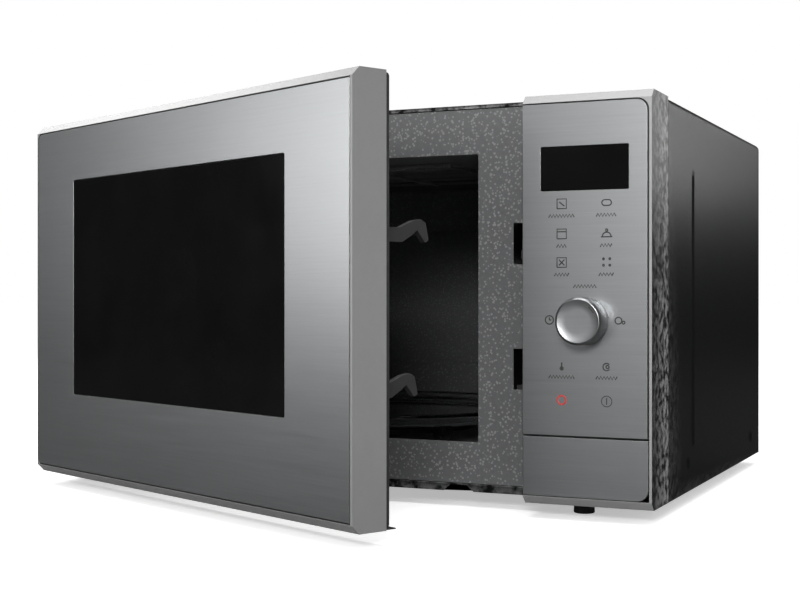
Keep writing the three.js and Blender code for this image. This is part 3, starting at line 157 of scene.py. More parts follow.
class EffectLibrary:
    """Builds each shared shader group once."""

    def __init__(self) -> None:
        """Starts with an empty shelf of groups."""
        self.made: dict[Effect, bpy.types.NodeTree] = {}

    def group(self, effect: Effect) -> bpy.types.NodeTree:
        """Returns the effect's group, and builds it on the first call."""
        if effect not in self.made:
            tree = bpy.data.node_groups.new(effect.value, "ShaderNodeTree")
            tree.interface.new_socket("Vector", in_out="INPUT", socket_type="NodeSocketVector")
            for name, start in (("Scale", 1.0), ("Amount", 1.0)):
                socket = tree.interface.new_socket(name, in_out="INPUT",
                                                   socket_type="NodeSocketFloat")
                socket.default_value = start
            tree.interface.new_socket("Value", in_out="OUTPUT", socket_type="NodeSocketFloat")
            graph = Graph(tree)
            entry = tree.nodes.new("NodeGroupInput")
            exit_ = tree.nodes.new("NodeGroupOutput")
            value = getattr(self, "_" + effect.name.lower())(graph, *entry.outputs[:3])
            scaled = graph.math("MULTIPLY", value, entry.outputs[2])
            tree.links.new(scaled, exit_.inputs[0])
            self.made[effect] = tree
        return self.made[effect]

    def _noise(self, graph: Graph, vector: object, scale: object, detail: float) -> object:
        """Returns one noise value between 0 and 1."""
        inputs = {"Vector": vector, "Scale": scale, "Detail": detail, "Roughness": 0.6}
        return graph.add("TexNoise", inputs).outputs[0]

    def _drawn(self, graph: Graph, vector: object, scale: object, _: object) -> object:
        """Fine lines along X, as on steel drawn through a brush: a long and a short set."""
        along, across = 14.0, 1100.0
        sets = []
        for stretch in (1.0, 3.2):
            size = (along * stretch, across, across * stretch)
            pull = graph.add("Mapping", {"Vector": vector, "Scale": size}).outputs[0]
            sets.append(self._noise(graph, pull, scale, 3.0))
        return graph.math("MULTIPLY", graph.math("ADD", *sets), 0.5)

    def _flecks(self, graph: Graph, vector: object, scale: object, _: object) -> object:
        """Small light spots of uneven size in a dark enamel."""
        cells = graph.add("TexVoronoi", {"Vector": vector, "Scale": scale, "Randomness": 1.0})
        size = graph.ramp(cells.outputs["Color"], (0.0, 0.02), (1.0, 0.5))
        return graph.math("LESS_THAN", cells.outputs["Distance"], size)

    def _grain(self, graph: Graph, vector: object, scale: object, _: object) -> object:
        """The even stipple of a moulded or a sprayed surface."""
        fine = self._noise(graph, vector, scale, 2.0)
        cells = graph.add("TexVoronoi", {"Vector": vector, "Scale": scale}).outputs["Distance"]
        return graph.math("MULTIPLY", graph.math("ADD", fine, cells), 0.5)

    def _drift(self, graph: Graph, vector: object, scale: object, _: object) -> object:
        """Slow changes of tone over a whole piece."""
        return self._noise(graph, vector, scale, 2.0)

    def _wear(self, graph: Graph, vector: object, scale: object, _: object) -> object:
        """A mask along outer edges, broken up by noise: wear on most finishes, a painted highlight on the case
        paint.
        """
        sharp = graph.add("NewGeometry").outputs["Pointiness"]
        edge = graph.ramp(sharp, (0.53, 0.0), (0.62, 1.0))
        broken = graph.ramp(self._noise(graph, vector, scale, 4.0), (0.4, 0.0), (0.62, 1.0))
        return graph.math("MULTIPLY", edge, broken)

    def _dust(self, graph: Graph, vector: object, scale: object, _: object) -> object:
        """A thin layer on what faces up, thicker in patches."""
        normal = graph.add("NewGeometry").outputs["Normal"]
        height = graph.add("SeparateXYZ", {0: normal}).outputs[2]
        facing = graph.ramp(height, (0.35, 0.0), (0.95, 1.0))
        patches = graph.ramp(self._noise(graph, vector, scale, 5.0), (0.42, 0.15), (0.7, 1.0))
        return graph.math("MULTIPLY", facing, patches)


effects = EffectLibrary()


# ------------------------------------------------------------------------------ finishes


class Texture(Enum):
    """What the fine surface of a finish looks like."""

    DRAWN = Effect.DRAWN
    FLECKED = Effect.FLECKS
    GRAINED = Effect.GRAIN


def tone(level: float, warmth: float = 0.0) -> tuple[float, float, float, float]:
    """Returns a grey of a linear level, warmer above 0 and cooler below."""
    return (level * (1 + warmth), level, level * (1 - warmth), 1.0)


WEAR_AND_HIGHLIGHT_SCALE = 180.0
DUST_SCALE = 60.0


@dataclass(frozen=True)
class Finish:
    """An opaque finish: a base colour, a fine texture, slow drift, lighter edges for wear and for a painted
    highlight, and dust.

    The texture turns the base colour towards the second one, and changes the roughness and relief.
    """

    name: str
    base: tuple[float, float, float, float]
    second: tuple[float, float, float, float]
    texture: Texture = Texture.GRAINED
    scale: float = 900.0
    share: float = 0.5
    metallic: float = 0.0
    roughness: float = 0.5
    rough_spread: float = 0.08
    relief: float = 0.00002
    drift: float = 0.12
    drift_scale: float = 9.0
    wear: float = 0.0
    wear_tone: tuple[float, float, float, float] = (0.6, 0.6, 0.6, 1.0)
    dust: float = 0.05
    coat: float = 0.0
    specular: float = 0.5
    turn: tuple[float, float, float] = (0.0, 0.0, 0.0)

    def material(self) -> bpy.types.Material:
        """Returns the finish as a material, and builds it on the first call."""
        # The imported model's materials have the slots' names, so a finish has one of its own.
        found = bpy.data.materials.get(f"{self.name}_finish")
        if found:
            return found
        material = bpy.data.materials.new(f"{self.name}_finish")
        material.use_nodes = True
        graph = Graph(material.node_tree)
        shader = material.node_tree.nodes["Principled BSDF"]
        place = graph.add("TexCoord").outputs["Object"]
        angles = [math.radians(angle) for angle in self.turn]
        place = graph.add("Mapping", {"Vector": place, "Rotation": angles}).outputs[0]
        texture = self._effect(graph, self.texture.value, place, self.scale, 1.0)
        drift = self._effect(graph, Effect.DRIFT, place, self.drift_scale, 1.0)
        wear = self._effect(graph, Effect.WEAR, place, WEAR_AND_HIGHLIGHT_SCALE, self.wear)
        dust = self._effect(graph, Effect.DUST, place, DUST_SCALE, self.dust)
        share = graph.math("MULTIPLY", texture, self.share)
        colour = graph.blend(share, self.base, self.second)
        shade = tone(1 - self.drift)
        lighter = graph.add("Mix", {"Factor": drift}, data_type="RGBA", blend_type="MULTIPLY")
        material.node_tree.links.new(colour, lighter.inputs[6])
        lighter.inputs[7].default_value = shade
        # Lighter edges: wear, and on the case paint a painted highlight.
        colour = graph.blend(wear, lighter.outputs[2], self.wear_tone)
        colour = graph.blend(dust, colour, tone(0.5, 0.04))
        rough = graph.ramp(texture, (0.0, self.roughness - self.rough_spread),
                           (1.0, self.roughness + self.rough_spread))
        rough = graph.math("ADD", rough, graph.math("MULTIPLY", dust, 0.4))
        bump = graph.add("Bump", {"Height": texture, "Distance": self.relief, "Strength": 1.0})
        links = material.node_tree.links
        links.new(colour, shader.inputs["Base Color"])
        links.new(rough, shader.inputs["Roughness"])
        links.new(bump.outputs[0], shader.inputs["Normal"])
        shader.inputs["Metallic"].default_value = self.metallic
        shader.inputs["Coat Weight"].default_value = self.coat
        shader.inputs["Specular IOR Level"].default_value = self.specular
        return material

    def _effect(self, graph: Graph, effect: Effect, place: object, scale: float,
                amount: float) -> bpy.types.NodeSocket:
        """Places a shared effect in the material.

        Args:
            graph: The material's nodes.
            effect: Which effect.
            place: The coordinates that it reads.
            scale: How fine it is, in repeats to the metre.
            amount: What its value is multiplied by.

        Returns:
            The effect's value.
        """
        node = graph.add("Group", node_tree=effects.group(effect))
        graph.tree.links.new(place, node.inputs["Vector"])
        node.inputs["Scale"].default_value = scale
        node.inputs["Amount"].default_value = amount
        return node.outputs[0]


@dataclass(frozen=True)
class Glass:
    """A clear or tinted glass with faint smears in its gloss."""

    name: str
    tint: tuple[float, float, float, float]
    second: tuple[float, float, float, float]
    transmission: float = 1.0
    roughness: float = 0.03
    smear: float = 0.05
    ior: float = 1.5

    def material(self) -> bpy.types.Material:
        """Returns the glass as a material, and builds it on the first call."""
        found = bpy.data.materials.get(f"{self.name}_finish")
        if found:
            return found
        material = bpy.data.materials.new(f"{self.name}_finish")
        material.use_nodes = True
        graph = Graph(material.node_tree)
        shader = material.node_tree.nodes["Principled BSDF"]
        place = graph.add("TexCoord").outputs["Object"]
        smears = graph.add("Group", node_tree=effects.group(Effect.DRIFT))
        graph.tree.links.new(place, smears.inputs["Vector"])
        smears.inputs["Scale"].default_value = 22.0
        rough = graph.ramp(smears.outputs[0], (0.45, self.roughness),
                           (0.8, self.roughness + self.smear))
        colour = graph.blend(smears.outputs[0], self.tint, self.second)
        graph.tree.links.new(colour, shader.inputs["Base Color"])
        graph.tree.links.new(rough, shader.inputs["Roughness"])
        shader.inputs["Metallic"].default_value = 0.0
        shader.inputs["Transmission Weight"].default_value = self.transmission
        shader.inputs["IOR"].default_value = self.ior
        return material


DOOR_TURN = (0.0, 0.0, 25.0)

brushed_panel = Finish("brushed_face", tone(0.30, -0.02), tone(0.44, -0.02), Texture.DRAWN, 1.0,
                       0.7, metallic=0.95, roughness=0.36, relief=0.000012, dust=0.0, drift=0.08)
brushed_door = Finish("brushed_door", tone(0.30, -0.02), tone(0.44, -0.02), Texture.DRAWN, 1.0,
                      0.7, metallic=0.97, roughness=0.33, relief=0.000012, dust=0.0, drift=0.08,
                      turn=DOOR_TURN)
silver_moulding = Finish("silver_moulding", tone(0.26), tone(0.32), scale=2600.0, metallic=0.4,
                         roughness=0.4, relief=0.000006, wear=0.08, wear_tone=tone(0.6))
# Painted shade: a darker copy of the silver moulding, for the door's housing, which falls darker in the light.
door_moulding = Finish("door_moulding", tone(0.22), tone(0.28), scale=2600.0, metallic=0.45,
                       roughness=0.42, relief=0.000006, wear=0.08, wear_tone=tone(0.5))
# Painted highlight: the case paint's strong lighter edges stand in for light caught along the pressed fields'
# slopes.
charcoal_paint = Finish("case_paint", tone(0.003, -0.1), tone(0.007, -0.1), scale=1500.0,
                        roughness=0.3, relief=0.00002, wear=0.8, wear_tone=tone(0.25),
                        dust=0.004, specular=0.12)
cavity_enamel = Finish("cavity_enamel", tone(0.095, -0.02), tone(0.3), Texture.FLECKED, 520.0, 0.4,
                       roughness=0.42, relief=0.00001, drift=0.25, drift_scale=420.0,
                       coat=0.15, dust=0.03)
zinc_steel = Finish("zinc_steel", tone(0.52), tone(0.62), scale=260.0, metallic=0.95,
                    roughness=0.34, relief=0.000006, wear=0.2, wear_tone=tone(0.8))
black_moulding = Finish("black_moulding", tone(0.012), tone(0.02), scale=2200.0, roughness=0.45,
                        relief=0.00001, wear=0.15, wear_tone=tone(0.06))
rubber = Finish("rubber_foot", tone(0.014), tone(0.026), scale=1300.0, roughness=0.78,
                relief=0.00004, wear=0.2, wear_tone=tone(0.07))
board_green = Finish("board", (0.02, 0.09, 0.04, 1.0), (0.05, 0.17, 0.07, 1.0), scale=420.0,
                     roughness=0.4, relief=0.00003, coat=0.2)
copper_winding = Finish("copper_winding", (0.28, 0.09, 0.03, 1.0), (0.5, 0.2, 0.08, 1.0),
                        Texture.DRAWN, 1.0, 0.8, metallic=0.6, roughness=0.35, relief=0.0001)
mica = Finish("mica", (0.42, 0.36, 0.26, 1.0), (0.55, 0.48, 0.36, 1.0), scale=320.0,
              roughness=0.4, relief=0.00002, coat=0.3)
touch_film = Finish("touch_film", tone(0.2), tone(0.26), scale=1600.0, roughness=0.4)
print_dark = Finish("print_dark", tone(0.022), tone(0.035), scale=2400.0, roughness=0.5,
                    relief=0.000004, dust=0.0)
print_red = Finish("print_red", (0.42, 0.02, 0.02, 1.0), (0.5, 0.04, 0.03, 1.0), scale=2400.0,
                   roughness=0.5, relief=0.000004, dust=0.0)
ceramic = Finish("ceramic_cap", tone(0.6, 0.03), tone(0.7, 0.02), scale=700.0, roughness=0.6)
black_glass = Glass("black_glass", tone(0.002), tone(0.0045), transmission=0.0, roughness=0.06,
                    ior=1.1)
clear_glass = Glass("clear_glass", tone(0.92, -0.01), tone(0.86, -0.02))
quartz = Glass("quartz", tone(0.9), tone(0.82), transmission=0.75, roughness=0.2)

SLOTS = {
    finish.name: finish
    for finish in (brushed_panel, silver_moulding, charcoal_paint, cavity_enamel, zinc_steel,
                   black_moulding, rubber, board_green, copper_winding, mica,
                   touch_film, black_glass, clear_glass, quartz)
}


# ------------------------------------------------------------------------------ workbench


class Bench:
    """The hand tools: starting shapes, choosing what to work on, and finishing a piece."""

    @staticmethod
    def idle() -> None:
        """Leaves edit mode and deselects everything."""
        if bpy.context.mode != "OBJECT":
            bpy.ops.object.mode_set(mode="OBJECT")
        bpy.ops.object.select_all(action="DESELECT")

    @classmethod
    def hold(cls, piece: Piece) -> None:
        """Makes a piece the only selected and active one."""
        cls.idle()
        piece.select_set(True)
        bpy.context.view_layer.objects.active = piece

    @classmethod
    @contextmanager
    def editing(cls, piece: Piece) -> Iterator[None]:
        """Holds a piece in edit mode, with all of it selected, for the length of a with block."""
        cls.hold(piece)
        bpy.ops.object.mode_set(mode="EDIT")
        bpy.ops.mesh.select_all(action="SELECT")
        yield
        bpy.ops.object.mode_set(mode="OBJECT")

    @classmethod
    def apply(cls, piece: Piece, kind: str, **settings: object) -> None:
        """Adds a modifier with its settings and applies it."""
        cls.hold(piece)
        modifier = piece.modifiers.new(kind.lower(), kind)
        for name, value in settings.items():
            setattr(modifier, name, value)
        bpy.ops.object.modifier_apply(modifier=modifier.name)

    @classmethod
    def soften(cls, piece: Piece, width: float = 0.5 * MM, segments: int = 2,
               angle: float = 28.0) -> None:
        """Rounds the edges sharper than an angle and smooths the shading between them."""
        cls.apply(piece, "BEVEL", width=width, segments=segments, limit_method="ANGLE",
                  angle_limit=math.radians(angle), miter_outer="MITER_SHARP")
        bpy.ops.object.shade_smooth_by_angle(angle=math.radians(35))
        cls.apply(piece, "WEIGHTED_NORMAL", keep_sharp=True)

    @classmethod
    def merged_copy(cls, node: str) -> Piece:
        """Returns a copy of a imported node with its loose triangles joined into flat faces."""
        mesh = frame["nodes"][node].data.copy()
        piece = bpy.data.objects.new(node + "_fine", mesh)
        bpy.context.scene.collection.objects.link(piece)
        mesh.materials.clear()
        with cls.editing(piece):
            bpy.ops.mesh.remove_doubles(threshold=0.00001)
            bpy.ops.mesh.dissolve_limited(angle_limit=math.radians(1))
        return piece


    @classmethod
    def place(cls, piece: Piece, name: str) -> Piece:
        """Names a new primitive and moves its place into its mesh."""
        piece.name = piece.data.name = name
        cls.hold(piece)
        bpy.ops.object.transform_apply(location=True, rotation=True, scale=True)
        return piece

    @classmethod
    def block(cls, name: str, low: Vector, high: Vector) -> Piece:
        """Starts a piece as a block between two corners."""
        cls.idle()
        bpy.ops.mesh.primitive_cube_add(size=1, location=(low + high) / 2, scale=high - low)
        return cls.place(bpy.context.active_object, name)

    @classmethod
    def turned(cls, name: str, pivot: Vector, axis: str, rings: Rings, sides: int = 64) -> Piece:
        """Makes a round piece ring by ring, as on a lathe.

        Args:
            name: The piece's name.
            pivot: A point on its axis.
            axis: Its axis: X, Y or Z.
            rings: Radius and distance along the axis from the pivot of each ring, in metres.
            sides: How many sides it has.

        Returns:
            The piece, closed at both ends.
        """
        cls.idle()
        along = Vector([float(axis == letter) for letter in "XYZ"])
        turn = {"X": (0, math.pi / 2, 0), "Y": (math.pi / 2, 0, 0), "Z": (0, 0, 0)}[axis]
        (radius, reach), *rest = rings
        bpy.ops.mesh.primitive_circle_add(vertices=sides, radius=radius, fill_type="NGON",
                                          location=pivot + along * reach, rotation=turn)
        piece = cls.place(bpy.context.active_object, name)
        with cls.editing(piece):
            for next_radius, next_reach in rest:
                step = along * (next_reach - reach)
                bpy.ops.mesh.extrude_region_move(TRANSFORM_OT_translate={"value": step})
                growth = [1.0 if part else next_radius / radius for part in along]
                bpy.ops.transform.resize(value=growth, center_override=pivot + along * next_reach)
                radius, reach = next_radius, next_reach
            bpy.ops.mesh.select_all(action="SELECT")
            bpy.ops.mesh.normals_make_consistent(inside=False)
        cls.smooth(piece)
        return piece

    @classmethod
    def smooth(cls, piece: Piece) -> None:
        """Smooths a piece's shading across its shallow edges."""
        cls.hold(piece)
        bpy.ops.object.shade_smooth_by_angle(angle=math.radians(35))

    @classmethod
    def pick_edges(cls, piece: Piece, test: Test) -> None:
        """Selects, in edit mode, the edges whose middle and direction pass a test."""
        cls._pick(piece, "EDGE", "edges", test,
                  lambda edge: ((edge.verts[0].co + edge.verts[1].co) / 2,
                                (edge.verts[1].co - edge.verts[0].co).normalized()))

    @classmethod
    def pick_faces(cls, piece: Piece, test: Test) -> None:
        """Selects, in edit mode, the faces whose middle and normal pass a test."""
        cls._pick(piece, "FACE", "faces", test,
                  lambda face: (face.calc_center_median(), face.normal))

    @staticmethod
    def _pick(piece: Piece, mode: str, kind: str, test: Test, read: Callable) -> None:
        """Selects, in edit mode, what passes a test.

        Args:
            piece: The piece in edit mode.
            mode: The select mode.
            kind: What is chosen among: edges or faces.
            test: Takes a place and a direction and says whether to select.
            read: Gives the place and the direction.
        """
        bpy.ops.mesh.select_mode(type=mode)
        bpy.ops.mesh.select_all(action="DESELECT")
        shape = bmesh.from_edit_mesh(piece.data)
        for part in getattr(shape, kind):
            part.select_set(test(*read(part)))
        shape.select_flush_mode()
        bmesh.update_edit_mesh(piece.data)

    @classmethod
    def round_edges(cls, piece: Piece, test: Test, width: float, segments: int) -> None:
        """Rounds the edges whose middle and direction pass a test."""
        with cls.editing(piece):
            cls.pick_edges(piece, test)
            bpy.ops.mesh.bevel(offset=width, segments=segments, affect="EDGES")

    @classmethod
    def carve(cls, piece: Piece, cutter: Piece) -> None:
        """Cuts one piece's shape out of another, and clears the cutter away."""
        cls.apply(piece, "BOOLEAN", operation="DIFFERENCE", solver="EXACT", object=cutter)
        bpy.data.objects.remove(cutter)

    @classmethod
    def join(cls, piece: Piece, *others: Piece) -> Piece:
        """Joins other pieces' meshes into the first one."""
        cls.hold(piece)
        for other in others:
            other.select_set(True)
        bpy.ops.object.join()
        return piece

    @classmethod
    def turn(cls, piece: Piece, angle: float, pivot: Vector) -> None:
        """Turns a piece's mesh about an upright line, by radians seen from above."""
        with cls.editing(piece):
            bpy.ops.transform.rotate(value=-angle, orient_axis="Z", center_override=pivot)

    @classmethod
    def copy(cls, piece: Piece, name: str, step: Vector = Vector()) -> Piece:
        """Returns a copy with its own mesh, moved by a step."""
        cls.hold(piece)
        bpy.ops.object.duplicate(linked=False)
        twin = bpy.context.active_object
        twin.name = twin.data.name = name
        with cls.editing(twin):
            bpy.ops.transform.translate(value=step)
        return twin

    @classmethod
    def paint(cls, piece: Piece, finish: "Finish | Glass", test: Test) -> None:
        """Gives the faces whose middle and normal pass a test another finish."""
        piece.data.materials.append(finish.material())
        piece.active_material_index = len(piece.data.materials) - 1
        with cls.editing(piece):
            cls.pick_faces(piece, test)
            bpy.ops.object.material_slot_assign()


@dataclass(frozen=True)
class Pen:
    """Prints flat marks on an upright face: strokes of one width joined in one piece."""

    width: float = 0.8 * MM
    height: float = 0.05 * MM

    def draw(self, name: str, strokes: Strokes, depth: float) -> Piece:
        """Draws strokes.

        Args:
            name: The piece's name.
            strokes: Lines of points, each in millimetres to the right and up.
            depth: The face's distance behind the closed door's face, in millimetres.

        Returns:
            The marks as one mesh.
        """
        Bench.idle()
        curve = bpy.data.curves.new(name, "CURVE")
        curve.dimensions = "3D"
        curve.bevel_depth, curve.bevel_resolution = self.width / 2, 1
        curve.use_fill_caps = True
        for stroke in strokes:
            spline = curve.splines.new("POLY")
            spline.points.add(len(stroke) - 1)
            for point, (x, z) in zip(spline.points, stroke):
                point.co = (*at(x, depth, z), 1.0)
        piece = bpy.data.objects.new(name, curve)
        bpy.context.scene.collection.objects.link(piece)
        Bench.hold(piece)
        bpy.ops.object.convert(target="MESH")
        piece = bpy.context.active_object
        with Bench.editing(piece):
            flat = (1.0, self.height / self.width, 1.0)
            bpy.ops.transform.resize(value=flat, center_override=at(0, depth, 0))
        return piece

    @staticmethod
    def arc(x: float, z: float, radius: float, start: float = 0, end: float = 360) -> list[Span]:
        """Returns a stroke along a circle from one angle to another, in degrees from the right."""
        steps = max(6, int(abs(end - start) / 15))
        angles = [math.radians(start + (end - start) * step / steps) for step in range(steps + 1)]
        return [(x + radius * math.cos(angle), z + radius * math.sin(angle)) for angle in angles]

    @staticmethod
    def frame(x: float, z: float, width: float, height: float) -> list[Span]:
        """Returns a rectangular stroke round a middle point."""
        left, right, low, high = x - width / 2, x + width / 2, z - height / 2, z + height / 2
        return [(left, low), (right, low), (right, high), (left, high), (left, low)]

    @staticmethod
    def ticks(x: float, z: float, width: float, height: float = 2.1) -> list[Span]:
        """Returns a close row of ticks round a middle point, in the place of words."""
        step = 1.1
        count = int(width / step)
        return [(x - width / 2 + step * number, z + height * (number % 2 - 0.5))
                for number in range(count + 1)]


def fit(piece: Piece, body: str, finish: Finish | Glass, slot: str, *nodes: str) -> Piece:
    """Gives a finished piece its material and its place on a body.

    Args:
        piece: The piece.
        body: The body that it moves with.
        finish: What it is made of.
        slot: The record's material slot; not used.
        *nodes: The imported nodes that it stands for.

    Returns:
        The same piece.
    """
    piece.data.materials.clear()
    piece.data.materials.append(finish.material())
    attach(piece, body)
    if nodes:
        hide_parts(*nodes)
    log.info("%s rides on %s in %s", piece.name, body, finish.name)
    return piece


def stand_for(piece: Piece, node: str, finish: Finish | Glass | None = None) -> Piece:
    """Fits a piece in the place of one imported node, in that node's finish if none is given."""
    slot = node_slot[node]
    return fit(piece, node_body[node], finish or SLOTS[slot], slot, node)


def refine(node: str, finish: Finish | Glass | None = None, width: float = 0.5 * MM,
           segments: int = 2) -> Piece:
    """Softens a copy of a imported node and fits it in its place.

    Args:
        node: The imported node.
        finish: Its finish, if it isn't the usual one of its slot.
        width: How far its edges are rounded.
        segments: How many steps the rounding has.

    Returns:
        The fitted piece.
    """
    piece = Bench.merged_copy(node)
    Bench.soften(piece, width, segments)
    return stand_for(piece, node, finish)


# ------------------------------------------------------------------------------ sub-assemblies


@dataclass
class Case:
    """The painted case with its back, base, feet, screws and cord gland."""

    carried: tuple[str, ...] = ("back_plate", "base_plate", "cord_gland", "case_screw_left",
                                "case_screw_right")
    pressing: float = 1.2 * MM
    field_front: float = 90 * MM
    field_bottom: float = 8 * MM
    feet: tuple[str, ...] = ("foot_front_left", "foot_front_right", "foot_rear_left",
                             "foot_rear_right")
    foot_edge: float = 0.8 * MM
    seam: float = 0.6 * MM

    def build(self) -> None:
        """Builds the case."""
        for node in self.carried:
            refine(node)
        self._shell()
        self._feet()

    def _shell(self) -> None:
        """Swells the pressed fields and dimples of the wrap-round case outwards."""
        piece = Bench.merged_copy("outer_case")
        low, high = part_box("outer_case")
        reach = (0.8 * self.pressing, 1.9 * self.pressing)
        for side, way in ((low.x, -1), (high.x, 1)):
            with Bench.editing(piece):
                Bench.pick_faces(piece, lambda place, normal: (
                    abs(normal.x) > 0.95 and reach[0] < (side - place.x) * way < reach[1]
                    and place.y - low.y > self.field_front and place.z - low.z > self.field_bottom))
                bpy.ops.transform.translate(value=(way * 2 * self.pressing, 0, 0))
        Bench.soften(piece, self.seam, 3)
        stand_for(piece, "outer_case")

    def _feet(self) -> None:
        """Turns one rubber foot with a groove round its middle, and copies it."""
        low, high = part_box(self.feet[0])
        radius, height = (high.x - low.x) / 2, -low.z + corner.z
        middle = Vector(((low.x + high.x) / 2, (low.y + high.y) / 2, low.z))
        edge, neck = self.foot_edge, radius * 0.86
        rings = ((radius * 0.55, edge), (radius * 0.7, 0.0), (radius - edge * 1.6, 0.0),
                 (radius - edge * 0.6, edge * 0.4), (radius - edge * 0.3, edge * 1.4),
                 (radius * 0.94, height * 0.45), (neck, height * 0.5), (neck, height * 0.58),
                 (radius * 0.94, height * 0.63), (radius, height),
                 (radius, high.z - low.z - 5 * MM),
                 (radius * 0.4, high.z - low.z - 5 * MM), (radius * 0.4, high.z - low.z))
        first = Bench.turned("foot_1", middle, "Z", rings, 48)
        for count, node in enumerate(self.feet):
            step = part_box(node)[0] - low
            foot = Bench.copy(first, f"foot_{count + 1}", step) if count else first
            stand_for(foot, node)


@dataclass
class CookingSpace:
    """The enamelled cooking space with its grill, lamp and microwave feed."""

    carried: tuple[str, ...] = ("front_plate", "cavity_liner", "waveguide_cover", "waveguide",
                                "magnetron", "grill_reflector", "grill_guard", "oven_lamp",
                                "thermal_cutout")
    tubes: tuple[str, ...] = ("grill_tube_front", "grill_tube_rear")
    cap_length: float = 11 * MM

    def build(self) -> None:
        """Builds the cooking space."""
        for node in self.carried:
            refine(node, width=0.3 * MM if node == "grill_guard" else 0.5 * MM)
        for node in self.tubes:
            self._tube(node)

    def _tube(self, node: str) -> None:
        """Turns a quartz tube between two ceramic caps."""
        low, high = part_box(node)
        length, cap = high.x - low.x, (high.z - low.z) / 2
        tube, edge, end = cap * 0.77, 0.6 * MM, self.cap_length
        start = Vector((low.x, (low.y + high.y) / 2, (low.z + high.z) / 2))
        rings = ((cap - edge, 0.0), (cap, edge), (cap, end - edge), (cap - edge, end),
                 (tube, end), (tube, end * 1.3), (tube * 0.96, end * 1.34),
                 (tube * 0.96, end * 1.5),
                 (tube, end * 1.55), (tube, length - end * 1.55),
                 (tube * 0.96, length - end * 1.5), (tube * 0.96, length - end * 1.34),
                 (tube, length - end * 1.3), (tube, length - end), (cap - edge, length - end),
                 (cap, length - end + edge), (cap, length - edge), (cap - edge, length))
        piece = Bench.turned(node + "_fine", start, "X", rings, 32)
        stand_for(piece, node)
        ends = (low.x + end * 1.1, high.x - end * 1.1)
        Bench.paint(piece, ceramic, lambda place, _: not ends[0] < place.x < ends[1])


@dataclass
class Turntable:
    """The motor, coupler, roller ring, three rollers and the glass tray."""

    carried: tuple[str, ...] = ("turntable_motor", "turntable_coupler", "roller_ring")
    floor: float = 4 * MM
    lug_place: float = 15 * MM
    lug_radius: float = 3 * MM
    lug_depth: float = 4 * MM

    def build(self) -> None:
        """Builds the turntable."""
        for node in self.carried:
            refine(node, width=0.35 * MM)
        self._rollers()
        self._tray()

    def _rollers(self) -> None:
        """Turns one grooved roller and copies it round the table's axis."""
        boxes = [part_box(f"roller_{number}") for number in (1, 2, 3)]
        middles = [(low + high) / 2 for low, high in boxes]
        hub = (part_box("turntable_coupler")[0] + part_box("turntable_coupler")[1]) / 2
        low, high = boxes[0]
        radius, half = (high.z - low.z) / 2, (high.y - low.y) / 2
        bore = radius * 0.31
        rings = ((bore, -half * 0.7), (bore * 1.5, -half), (radius * 0.55, -half),
                 (radius * 0.62, -half * 0.8), (radius * 0.8, -half * 0.8),
                 (radius * 0.86, -half), (radius * 0.94, -half), (radius, -half * 0.8),
                 (radius, half * 0.8), (radius * 0.94, half), (radius * 0.86, half),
                 (radius * 0.8, half * 0.8), (radius * 0.62, half * 0.8), (radius * 0.55, half),
                 (bore * 1.5, half), (bore, half * 0.7))
        first = Bench.turned("roller_1_fine", middles[0], "Y", rings, 48)
        start = math.atan2(middles[0].y - hub.y, middles[0].x - hub.x)
        for number, middle in enumerate(middles, 1):
            roller = first
            if number > 1:
                roller = Bench.copy(first, f"roller_{number}_fine")
                angle = math.atan2(middle.y - hub.y, middle.x - hub.x) - start
                Bench.turn(roller, angle, hub)
            stand_for(roller, f"roller_{number}")

    def _tray(self) -> None:
        """Turns the glass tray, with a raised ring, a sloping rim and three lugs below."""
        low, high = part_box("glass_tray")
        middle = Vector(((low.x + high.x) / 2, (low.y + high.y) / 2, low.z))
        radius, top = (high.x - low.x) / 2, high.z - low.z
        bottom = self.lug_depth
        floor, edge = bottom + self.floor, 1.0 * MM
        rings = ((radius * 0.7, bottom), (radius * 0.78, bottom), (radius - 12 * MM, bottom),
                 (radius - 9 * MM, bottom + 0.6 * MM), (radius - 2 * MM, top - 4 * MM),
                 (radius, top - 3 * MM), (radius, top - edge), (radius - edge, top),
                 (radius - 3 * MM, top), (radius - 4 * MM, top - edge),
                 (radius - 11 * MM, floor + edge), (radius - 13 * MM, floor),
                 (radius * 0.74, floor), (radius * 0.735, floor - 0.5 * MM),
                 (radius * 0.71, floor - 0.5 * MM), (radius * 0.705, floor),
                 (radius * 0.3, floor), (radius * 0.02, floor))
        tray = Bench.turned("glass_tray_fine", middle, "Z", rings, 128)
        lugs = []
        for third in range(3):
            angle = math.radians(60 + 120 * third)
            spot = middle + self.lug_place * Vector((math.cos(angle), math.sin(angle), 0))
            lug = ((self.lug_radius - 0.5 * MM, 0.0), (self.lug_radius, 0.5 * MM),
                   (self.lug_radius, bottom + 0.5 * MM))
            lugs.append(Bench.turned(f"tray_lug_{third}", spot, "Z", lug, 24))
        stand_for(Bench.join(tray, *lugs), "glass_tray")


@dataclass
class InnerWorks:
    """What stands behind the control panel: boards, fan, latch housing, switches and hinges."""

    carried: tuple[str, ...] = (
        "inverter_board", "inverter_transformer", "noise_filter_board", "fan_shroud", "fan_motor",
        "fan_blade", "latch_housing", "door_switch_upper", "door_switch_lower", "release_lever",
        "hinge_bracket_upper", "hinge_bracket_lower", "hinge_pin_upper", "hinge_pin_lower",
        "display_module", "control_board", "dial_encoder", "dial_shaft", "release_spring",
        "touch_film",
    )
    edge: float = 0.25 * MM

    def build(self) -> None:
        """Builds the works."""
        for node in self.carried:
            refine(node, width=self.edge, segments=1)


